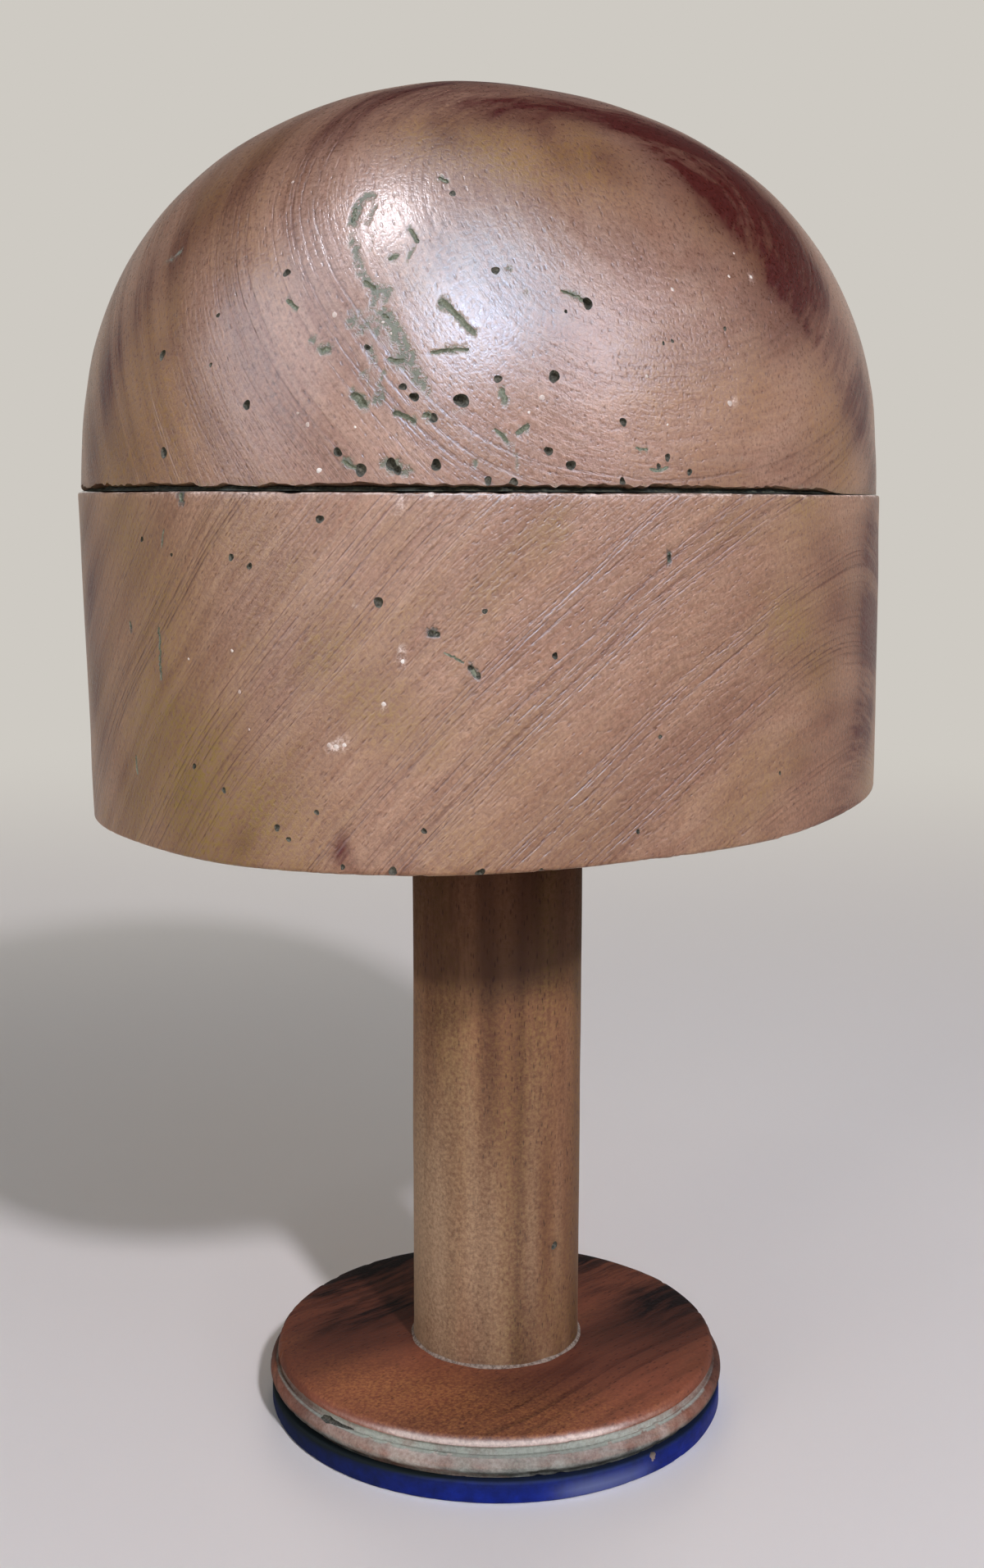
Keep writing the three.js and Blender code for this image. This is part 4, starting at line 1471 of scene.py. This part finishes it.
@dataclass
class BaseDisc(Seeded):
    """Turned base disc: rounded arris, cove and half-round bead, chipped and worn pale at the edge, with a
    painted highlight on the arris, painted light and shade on its top, and painted shade under the bead.
    """

    wood: CarvedHardwood
    seed: int
    top_diameter: float = 112.0
    arris: Pixel = (1.6, 2.3)
    cove: Pixel = (0.6, 2.0)
    bead_height: float = 4.5
    bead_diameter: float = 116.0
    undercut_diameter: float = 111.0
    hole: float = 14.3
    columns: int = 560
    hand_waver: float = 0.12
    chip_route: tuple[Pixel, ...] = ((393, 1727), (404, 1733), (418, 1739), (432, 1744))
    # Places of painted shade and shadow on the disc's top.
    painted_shade_places: tuple[PixelSpot, ...] = (
        (372, 1600, 18, 0.3), (455, 1545, 18, 0.7), (420, 1640, 16, 0.2), (760, 1550, 22, 0.9),
        (850, 1620, 22, 0.1), (850, 1670, 18, 0.15), (450, 1580, 16, 0.4), (640, 1700, 8, 0.2),
    )
    # Places of painted light on the front of the disc's top.
    painted_light_places: tuple[PixelSpot, ...] = (
        (520, 1710, 16, 0.9), (600, 1735, 16, 0.8), (680, 1725, 14, 0.5), (430, 1690, 14, 0.7),
    )

    def levels(self) -> tuple[float, float, float]:
        """Heights of the cove's top, of the bead's top and of the bead's middle."""
        bead_top = BASE_TOP - self.arris[1] - self.cove[1]
        return bead_top + self.cove[1], bead_top, bead_top - self.bead_height / 2

    def profile(self) -> Array:
        """Section of the disc from its underside, round the bead, into the cove and over the arris.

        Returns:
            Array (points, 2) of radius and height.
        """
        top_radius, bead_radius = self.top_diameter / 2, self.bead_diameter / 2
        undercut, neck, half = self.undercut_diameter / 2, top_radius - self.cove[0], self.bead_height / 2
        cove_top, bead_top, bead_middle = self.levels()
        corner = 0.6
        return refined([
            (self.hole, BASE_TOP), (self.hole, FOOT_TOP), (undercut, FOOT_TOP),
            *quarter_round((undercut, bead_middle), (bead_radius - undercut, half), -0.25, 0, 9),
            *quarter_round((neck, bead_middle), (bead_radius - neck, half), 0, 0.25, 9)[1:],
            *quarter_round((neck + corner, bead_top + corner), (corner, corner), -0.25, -0.5, 3),
            (neck, cove_top - 0.2),
            *quarter_round((top_radius - self.arris[0], cove_top), self.arris, 0, 0.25, 10),
            (self.hole + 0.4, BASE_TOP),
        ], 1.1)

    def build(self, cut_faces: list[Material]) -> Piece:
        """Makes the disc, whose edge wavers and is knocked by noise, and chips its arris.

        Args:
            cut_faces: materials of bored and of tracked wood.

        Returns:
            The finished piece.
        """
        rings = lathe_rings(self.profile(), self.columns)
        outer = np.clip((off_axis(rings) - self.top_diameter / 2 + 4) / 3, 0, 1)
        waver = self.hand_waver * (self.noise(rings, 14, 1) - 1)
        rings = pushed(rings, (waver - self.knocks(rings, 2.4, 0, 0.35, 0.7)) * outer)
        materials = [self.wood.build(), *cut_faces]
        piece = skin("base_moulded", rings, materials, closed=True)
        rng = np.random.default_rng(self.seed)
        surface = surface_of(piece)
        hits = [PHOTO.cast(pixel, surface) for pixel in self.chip_route]
        route = np.array([place - normal * 0.25 for place, normal in hits])
        at = np.linspace(0, len(route) - 1, 13)
        path = np.stack([np.interp(at, range(len(route)), part) for part in route.T], axis=-1)
        radii = np.interp(at, [0, 0.4, 1.2, 3], [0.5, 1.15, 0.7, 0.3])
        chip = tube("chip", path, radii * rng.uniform(0.8, 1.2, 13), materials, rng, 16, BORED)
        carve(piece, [chip])
        smooth(piece)
        self.mark(piece, vertices_mm(piece), surface)
        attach(piece, Rider.STAND.value)
        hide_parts("base_disc")
        return piece

    def mark(self, piece: Piece, points: Array, surface: BVHTree) -> None:
        """Wears the arris and the bead, most of all in front, with a painted highlight on the arris;
        dirties the cove; and paints shade under the bead, towards the back and at listed places, and light
        on the front of the top.

        Args:
            piece: the disc.
            points: its vertices.
            surface: its uncut surface.
        """
        height, radius, top_radius = points[:, 2], off_axis(points), self.top_diameter / 2
        cove_top, bead_top, bead_middle = self.levels()
        edge = radius > top_radius - 3
        # The arris's pale line, strongest where it faces the front, is worn wood and a painted highlight.
        arris = 1.35 * bell(height - cove_top - 0.8, 0.85) + 0.4 * bell(height - bead_top + 0.25, 0.35)
        cove = np.clip((cove_top + 0.2 - height) / 0.5, 0, 1) * (height > bead_top - 0.3) * edge
        bead = np.clip((height - bead_middle + 1.4) / 0.8, 0, 1) * (height <= bead_top) * edge
        # Painted shade under the bead, down to the foot disc.
        under = np.clip((bead_middle - height + 0.3) / 0.9, 0, 1) * edge
        facing = points[:, :2] @ unit(np.array(PHOTO.station[:2]))
        front = 0.5 + 0.5 * facing / radius.clip(1)
        # Painted shade, darker towards the back of the disc.
        back = np.clip(0.6 - facing / top_radius, 0, 1)
        streaks = 0.75 + 0.5 * self.noise(points * [1, 1, 0.15], 2.6, 5)
        wear = arris * edge * (0.05 + 0.95 * front**10) + 0.6 * bead * streaks * front**3
        grime = (1.1 * cove + 0.6 * bead) * (0.25 + 0.75 * front**4) * (1 - 0.75 * under)
        # Grey-green under the bead in front, part of its painted shade.
        grime += 0.45 * under * front**2
        # Darker at random, and painted shade and shadow at the listed places.
        dark = 0.2 * self.noise(points * [0.4, 1, 1], 7, 4)
        dark += glow(points, PHOTO.spots(self.painted_shade_places, surface))
        # Painted light on the front of the top.
        painted_light = glow(points, PHOTO.spots(self.painted_light_places, surface))
        paint(piece, {
            Mark.HEART: 0.1 + 0.4 * back + dark + under,
            Mark.AMBER: painted_light * (height > BASE_TOP - 0.6),
            Mark.WEAR: wear * (0.8 + 0.3 * self.noise(points, 9, 2)),
            Mark.GRIME: grime * (0.85 + 0.3 * self.noise(points, 3, 3)),
        })


@dataclass
class GlueRing(Seeded):
    """Pale squeeze-out of glue and polish in the corner between the stem and the base disc."""

    finish: PlainCrust
    seed: int
    stem_radius: float = 21.2
    width: float = 0.7
    columns: int = 240
    # Places round the ring's section, in shares of the width: outwards, then up.
    section: tuple[Pixel, ...] = (
        (-0.3, -0.25), (1, -0.25), (1, 0.02), (0.55, 0.22), (0.25, 0.5), (0.06, 0.8), (-0.3, 0.8),
    )

    def build(self) -> Piece:
        """Makes the ring: a quarter fillet whose reach wavers from 0.6 to 1.3 of its width.

        Returns:
            The finished piece.
        """
        circle = lathe_rings([(1.0, 0.0)], self.columns)[0]
        reach = self.width * (0.95 + 0.35 * self.noise(circle * 21, 5))
        rings = [
            raised(circle[:, :2] * (self.stem_radius + out * reach)[:, None], BASE_TOP + up * reach)
            for out, up in self.section
        ]
        piece = skin("glue_ring", np.array(rings), [self.finish.build()], closed=True)
        smooth(piece, 50)
        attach(piece, Rider.STAND.value)
        return piece


@dataclass
class FootDisc(Seeded):
    """Thin foot disc, painted blue and chipped, with countersunk holes for its screws."""

    finish: ChippedPaint
    seed: int
    diameter: float = 115.0
    edge_round: float = 0.8
    columns: int = 480
    hand_waver: float = 0.1
    chip: tuple[PixelSpot, ...] = ((797, 1777, 1.9, 0.75),)
    scuffs: tuple[PixelSpot, ...] = (
        (700, 1824, 5, 0.5), (725, 1818, 5, 0.5), (750, 1812, 5, 0.5), (775, 1805, 5, 0.5),
    )

    def build(self) -> Piece:
        """Makes the disc with rounded edges and cuts the screw holes.

        Returns:
            The finished piece.
        """
        radius, small = self.diameter / 2, self.edge_round
        profile = [
            (radius * 0.2, 0.0),
            *quarter_round((radius - small, small), (small, small), -0.25, 0, 5),
            *quarter_round((radius - small, FOOT_TOP - small), (small, small), 0, 0.25, 5),
            (radius * 0.2, FOOT_TOP),
        ]
        rings = lathe_rings(refined(profile, 1.6), self.columns)
        outer = np.clip((off_axis(rings) - radius + 3) / 2, 0, 1)
        waver = self.hand_waver * (self.noise(rings, 10) - 1)
        waver -= self.knocks(rings, 2.2, 1, 0.45, 0.35)
        rings[..., :2] *= (1 + waver * outer / radius)[..., None]
        material = self.finish.build()
        piece = skin("foot_painted", rings, [material])
        surface = surface_of(piece)
        carve(piece, [self.screw_cutter(number, material) for number in range(1, 5)])
        smooth(piece)
        points = vertices_mm(piece)
        height = points[:, 2]
        rim = decay(height - 0.2, 0.5) * (off_axis(points) > radius - 1.5)
        shade = np.clip((points[:, :2] @ TO_LEFT - 8) / 40, 0, 1)
        scuffed = glow(points, PHOTO.spots(self.scuffs, surface)) * bell(height - 2.2, 2.2)
        chipped = 0.2 * rim + glow(points, PHOTO.spots(self.chip, surface))
        # Painted shade: near black along the top edge, under the base's bead, and darker towards the left.
        painted_shade = 0.9 * decay(FOOT_TOP - height, 0.8) + 0.8 * shade
        paint(piece, {Mark.AMBER: scuffed, Mark.WEAR: chipped, Mark.GRIME: painted_shade})
        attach(piece, Rider.STAND.value)
        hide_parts("foot_disc")
        return piece

    def screw_cutter(self, number: int, material: Material) -> Piece:
        """Cutter for one screw's countersunk hole, larger than its head by the clearance.

        Args:
            number: number of the screw.
            material: the disc's material.

        Returns:
            The cutter.
        """
        low, high = span(f"foot_screw_{number}")
        head, shank, past = (high[0] - low[0]) / 2 + CLEARANCE, 2.3, 1.0
        profile = [(head, -past), (head, low[2] + 0.6), (shank, low[2] + 2.7), (shank, FOOT_TOP + past)]
        rings = lathe_rings(profile, 40) + [*(low + high)[:2] / 2, 0]
        return skin(f"screw_hole_{number}", rings, [material])


@dataclass
class FootScrew:
    """Countersunk slotted wood screw, point up."""

    number: int
    slot_width: float = 1.0
    slot_depth: float = 0.9
    rim: float = 0.3
    head_height: float = 2.4
    shank: float = 2.0
    point: float = 3.0
    thread_pitch: float = 1.6
    thread_depth: float = 0.35
    columns: int = 40

    def build(self, steel: Material) -> Piece:
        """Makes the screw: a turned body whose shank radius follows a sawtooth helix, and a slot.

        Args:
            steel: its material.

        Returns:
            The finished piece.
        """
        name = f"foot_screw_{self.number}"
        low, high = span(name)
        middle, head, neck = (low + high)[:2] / 2, (high[0] - low[0]) / 2, low[2] + self.head_height
        profile = [
            (head * 0.3, low[2]), (head, low[2]), (head, low[2] + self.rim), (self.shank, neck),
            (self.shank, high[2] - self.point), (0.15, high[2]),
        ]
        rings = lathe_rings(refined(profile, 0.3), self.columns)
        angle = np.arange(self.columns) / self.columns
        phase = (rings[..., 2] / self.thread_pitch - angle) % 1
        radius = off_axis(rings)
        depth = self.thread_depth * np.abs(2 * phase - 1) * (rings[..., 2] > neck + 1.2)
        depth *= np.clip(radius / self.shank, 0, 1)
        rings[..., :2] *= (1 - depth / np.maximum(radius, 0.1))[..., None]
        piece = skin(f"screw_{self.number}", rings + [*middle, 0], [steel])
        cut = SQUARE * [head + 1, self.slot_width / 2] + middle
        slot = [raised(cut, level) for level in (low[2] - 1, low[2] + self.slot_depth)]
        carve(piece, [skin("slot", np.array(slot), [steel])])
        smooth(piece, 35)
        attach(piece, Rider.STAND.value)
        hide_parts(name)
        return piece


@dataclass
class SwivelPeg(Seeded):
    """Loose peg that the block turns with and lifts off."""

    wood: CarvedHardwood
    seed: int
    chamfer: float = 2.0
    columns: int = 200
    hand_waver: float = 0.05
    rub_width: float = 1.5

    def build(self) -> Piece:
        """Makes the peg: a straight dowel with chamfers and a slightly wavering wall.

        Returns:
            The finished piece.
        """
        (low, high), radius, inset = PEG[:, 2], PEG_RADIUS, PEG_RADIUS - self.chamfer
        profile = [
            (radius * 0.3, low), (inset, low), (radius, low + self.chamfer),
            (radius, high - self.chamfer), (inset, high), (radius * 0.3, high),
        ]
        rings = lathe_rings(refined(profile, 1.5), self.columns)
        waver = self.hand_waver * (self.noise(rings * [1, 1, 0.3], 6) - 1)
        piece = skin("peg_dowel", pushed(rings, waver), [self.wood.build()])
        smooth(piece, 50)
        points = vertices_mm(piece)
        handled = 0.12 * (1 + lattice_noise(points * [1, 1, 0.2], 5, 3))
        rubbed = 0.45 * bell(points[:, 2] - STEM_TOP, self.rub_width)
        paint(piece, {Mark.WEAR: np.zeros(len(points)), Mark.GRIME: rubbed + handled})
        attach(piece, Rider.PEG.value)
        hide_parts("swivel_peg")
        return piece


class Seen(Enum):
    """What a lamp lights: only matt surfaces, or only the shine on them."""

    MATT = (True, False)
    SHINE = (False, True)


@dataclass
class Lamp:
    """Round soft lamp that shines on a point of the object. Its lengths are in metres."""

    name: str
    place: Array
    target: Array
    size: float
    watts: float
    colour: str
    seen: Seen

    def build(self) -> Piece:
        """Adds the lamp, facing its target.

        Returns:
            The lamp.
        """
        data = bpy.data.lights.new(self.name, "AREA")
        data.shape = "DISK"
        data.size = self.size
        data.energy = self.watts
        data.color = linear(self.colour)[:3]
        lamp = placed(self.name, data)
        lamp.visible_diffuse, lamp.visible_glossy = self.seen.value
        lamp.rotation_mode = "QUATERNION"
        lamp.rotation_quaternion = Vector(self.target - self.place).to_track_quat("-Z", "Y")
        lamp.location = self.place
        return lamp


def from_side(azimuth: float, elevation: float, distance: float) -> Array:
    """Place seen from the joint's middle: level * (sin a, -cos a) in plan, and raised by the elevation.

    Args:
        azimuth: angle a in degrees, from -Y towards +X.
        elevation: degrees above the level.
        distance: metres from the joint's middle.

    Returns:
        The place, in metres.
    """
    turn, rise = math.radians(azimuth), math.radians(elevation)
    level = distance * math.cos(rise)
    aside, back, up = level * math.sin(turn), -level * math.cos(turn), distance * math.sin(rise)
    return np.array([aside, back, up + JOINT * MM])


@dataclass
class Studio:
    """Plain pale floor and surround, with soft lamps. Its lengths are in metres."""

    crown: CrownTop
    glare: Pixel = (572, 392)
    spark: Pixel = (470, 268)
    floor_colour: str = "#F2EEE8"
    far_colour: str = "#CECAC3"
    ambient_colour: str = "#F4F2F0"
    overhead: str = "#3A3634"
    overhead_start: float = 15.0
    overhead_end: float = 28.0
    ambient: float = 0.16
    floor_rings: tuple[float, ...] = (6.0, 3.5, 2.0, 1.2, 0.7, 0.3, 0.02)
    fade_start: float = 0.3
    fade_end: float = 1.3

    def mirrored(self, pixel: Pixel, distance: float) -> tuple[Array, Array]:
        """Place from which a lamp's light glances off the dome at a pixel into the camera.

        Args:
            pixel: place of the highlight in the photograph.
            distance: metres from the dome to the lamp.

        Returns:
            The lamp's place and the point that it shines on, in metres.
        """
        point, _ = PHOTO.cast(pixel, self.crown.surface)
        steps = product((-24, 0, 24), repeat=2)
        near = [PHOTO.cast((pixel[0] + x, pixel[1] + y), self.crown.surface)[1] for x, y in steps]
        normal = unit(np.mean(near, axis=0))
        seen = PHOTO.ray(pixel)
        back = seen - 2 * np.dot(seen, normal) * normal
        return point * MM + back * distance, point * MM

    def floor_material(self) -> Material:
        """Matt pale floor that passes into the surround's colour away from the object.

        Returns:
            The material.
        """
        material = bpy.data.materials.new("pale_floor")
        node = emptied(material)
        away = node("VectorMath:LENGTH", node("TexCoord", out="Object"))
        fade = node("MapRange:SMOOTHSTEP", away, self.fade_start, self.fade_end)
        colour = linear(self.floor_colour)
        matt = node("BsdfPrincipled", Base_Color=colour, Roughness=0.9, Specular_IOR_Level=0.2)
        far = node("Emission", linear(self.far_colour))
        node("OutputMaterial", node("MixShader", fade, matt, far))
        return material

    def make_floor(self) -> None:
        """Adds the floor: a flat disc of rings, so that its material fades evenly."""
        rings = lathe_rings([(radius, 0.0) for radius in self.floor_rings], 96)
        faces = wrapped(rings, False)
        faces.append([face[3] for face in faces[-rings.shape[1] :]])
        mesh = bpy.data.meshes.new("floor")
        mesh.from_pydata(rings.reshape(-1, 3).tolist(), [], faces)
        mesh.materials.append(self.floor_material())
        placed("floor", mesh)

    def make_surround(self) -> None:
        """Sets a world that shows a pale colour and lights the object less than it shows.

        Above the pale wall, higher than the camera sees, it passes into a dark ceiling, which the
        varnish mirrors on top of the block. The height is the sine of the elevation.
        """
        world = bpy.data.worlds.new("surround")
        node = emptied(world)
        shown = node("LightPath", out="Is Camera Ray")
        for kind in ("Is Glossy Ray", "Is Transmission Ray"):
            shown = node("Math:MAXIMUM", shown, node("LightPath", out=kind))
        ambient = node("Background", linear(self.ambient_colour), self.ambient)
        height = node("SeparateXYZ", node("TexCoord", out="Generated"), out="Z")
        ends = (math.sin(math.radians(rise)) for rise in (self.overhead_start, self.overhead_end))
        ceiling = node("MapRange:SMOOTHSTEP", height, *ends)
        colour = node("Mix:RGBA", ceiling, linear(self.far_colour), linear(self.overhead))
        pale = node("Background", colour, 1.0)
        node("OutputWorld", node("MixShader", shown, ambient, pale))
        bpy.context.scene.world = world

    def build(self) -> None:
        """Adds the floor, the surround and the lamps, and sets the view transform."""
        self.make_floor()
        self.make_surround()
        key, target = self.mirrored(self.glare, 1.5)
        spark, top = self.mirrored(self.spark, 1.6)
        block = np.array([0, 0, JOINT * MM])
        for name, place, aim, size, watts, colour, seen in (
            ("key", key, target, 0.12, 17.5, "#F6F2FF", Seen.MATT),
            ("key_glare", key, target, 0.38, 36.0, "#C8D8FF", Seen.SHINE),
            ("front_haze", from_side(-10, 41, 1.5), block, 1.2, 102.0, "#AADCFF", Seen.SHINE),
            ("left_haze", from_side(-88, 28, 1.3), block, 1.3, 44.0, "#CAE4FF", Seen.SHINE),
            ("right_haze", from_side(26, 24, 1.5), block, 0.7, 33.0, "#E0EAFF", Seen.SHINE),
            ("low_haze", from_side(-40, 2, 1.5), block, 1.1, 18.0, "#E4F2FF", Seen.SHINE),
            ("sky_haze", from_side(-35, 70, 1.3), block, 1.3, 18.0, "#B8DEFF", Seen.SHINE),
            ("spark", spark, top, 0.08, 52.0, "#F8F6FF", Seen.SHINE),
            ("window", from_side(-70, 2, 1.3), block, 0.3, 2.4, "#FFF2E6", Seen.MATT),
            ("back", from_side(145, 25, 1.6), block, 0.8, 5.0, "#FFF4F0", Seen.MATT),
        ):
            Lamp(name, place, aim, size, watts, colour, seen).build()
        bpy.context.scene.view_settings.view_transform = "Standard"


# Upper board: red-brown, with fine rings round the dome, amber patches and a cool haze on top.
CROWN_WOOD = CarvedHardwood(
    name="varnished_crown_hardwood",
    pale="#A98872", body="#865A43", late="#4F2C1E", heart="#4C1206", amber="#8A6630",
    bare="#D2BCAE", grime="#646048",
    ring_normal=(0.027, -0.842, 0.539), grain=(0.082, 0.539, 0.838),
    ring_strength=0.45, band_strength=0.07, amber_scatter=0.5, roughness=0.31,
)
# Lower board: the same wood a little paler, its rings stronger and its varnish more worn.
BAND_WOOD = CarvedHardwood(
    name="varnished_band_hardwood",
    pale="#AC8A70", body="#8B5F47", late="#562F20", heart="#501608", amber="#876D30",
    bare="#D8C4B6", grime="#4E4538",
    ring_normal=(-0.266, 0.76, 0.593), grain=(0.545, -0.389, 0.743),
    ring_width=1.0, ring_strength=0.75, band_strength=0.05, amber_scatter=0.6, relief=0.14,
    roughness=0.36,
)
# Stem: dark brown in fine upright streaks and nearly matt; its marks make it paler low down and towards the
# left, and its grime colour paints the block's shadow on its top.
STEM_WOOD = CarvedHardwood(
    name="varnished_stem_hardwood",
    pale="#9C7052", body="#623C27", late="#372019", heart="#30100A", amber="#7E6634",
    bare="#AA8D70", grime="#240F09",
    ring_normal=(0.8, -0.6, 0.0), grain=(0.02, 0.01, 1.0),
    ring_width=2.2, ring_strength=0.15, band_strength=0.04, fibre_width=0.9, fibre_length=5.0,
    drift=0.6, pore_strength=0.6, speckle=0.2, ragged=0.12, specular=0.08, roughness=0.55,
)
# Base: red-brown and matt, rubbed to pale wood at its arris, with grey dirt in its cove. Its bare colour
# also paints a highlight on the arris, its amber colour paints light on the front of the top, and its heart
# colour paints shade under the bead and at the back.
BASE_WOOD = CarvedHardwood(
    name="stained_base_hardwood",
    pale="#97593F", body="#683726", late="#30160E", heart="#1A0B07", amber="#A66E42",
    bare="#E0D0C4", grime="#A8AEA2",
    ring_normal=(0.2, -0.3, 0.93), grain=(0.95, 0.3, 0.05),
    ring_width=2.0, fibre_length=16.0, amber_scatter=0.5, ragged=0.08, speckle=0.12,
    specular=0.06, roughness=0.6,
)
# Peg, dowels and wedge: bare beech, pale, matt and straight in the grain.
BEECH = CarvedHardwood(
    name="bare_beech_dowel",
    pale="#D8B78A", body="#BC9466", late="#8C6540", heart="#9A7148", amber="#C9A060",
    bare="#DCC39C", grime="#5A4632",
    ring_normal=(0.3, 1.0, 0.0), grain=(0.0, 0.02, 1.0),
    pith_depth=40.0, ring_width=2.0, roughness=0.6, heart_scatter=0.1, amber_scatter=0.1,
)


def dress_hidden(beech: Material) -> None:
    """Gives the solids that stay, the dowels and the wedge, their beech.

    Args:
        beech: the material.
    """
    for name in (*DOWELS, "stem_wedge"):
        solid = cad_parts[name]
        solid.data.materials.clear()
        solid.data.materials.append(beech)
        LOG.info("dressed %s", name)


def main() -> None:
    logging.basicConfig(level=logging.INFO, format="%(name)s %(message)s")
    PHOTO.make_camera()
    form = BlockForm()
    # Insides of flight holes, grey-brown and dark, and floors of tracks, paler and greener.
    cut_faces = [
        PlainCrust("bored_wood", "#6E6A5B", "#3A372C").build(),
        PlainCrust("tracked_wood", "#8C907C", "#60644E").build(),
    ]
    crown = CrownTop(form, CROWN_WOOD, CROWN_MARKS, 11, unseen_count=26, unseen_rise=(0.0, 1.2))
    band = CrownBand(form, BAND_WOOD, BAND_MARKS, 23, unseen_count=12, unseen_rise=(-0.8, -0.05))
    # Crumbs in the joint, near black in their hollows, off-white flecks of paint, and brown glue.
    dust = PlainCrust("joint_dust", "#4B4A38", "#16140F", grain=0.6)
    flecks = PlainCrust("dried_paint", "#EDE6DC", "#C2AC9E", grain=5.0, roughness=0.7)
    glue = PlainCrust("old_glue", "#A59483", "#6C5B4C", grain=0.8)
    pieces = [
        crown.build(cut_faces),
        band.build(cut_faces),
        JointDust(form, dust, 31).build(),
        PaleSpecks(crown, band, flecks, 37).build(),
        Stem(STEM_WOOD, 41).build(cut_faces),
        BaseDisc(BASE_WOOD, 43).build(cut_faces),
        GlueRing(glue, 47).build(),
        FootDisc(ChippedPaint("chipped_blue_paint"), 53).build(),
        SwivelPeg(BEECH, 59).build(),
    ]
    steel = DulledSteel("dulled_steel").build()
    pieces.extend(FootScrew(number).build(steel) for number in range(1, 5))
    for piece in pieces:
        LOG.info("made %s: %d faces", piece.name, len(piece.data.polygons))
    dress_hidden(bpy.data.materials[BEECH.name])
    Studio(crown).build()


if __name__ == "__main__":
    main()
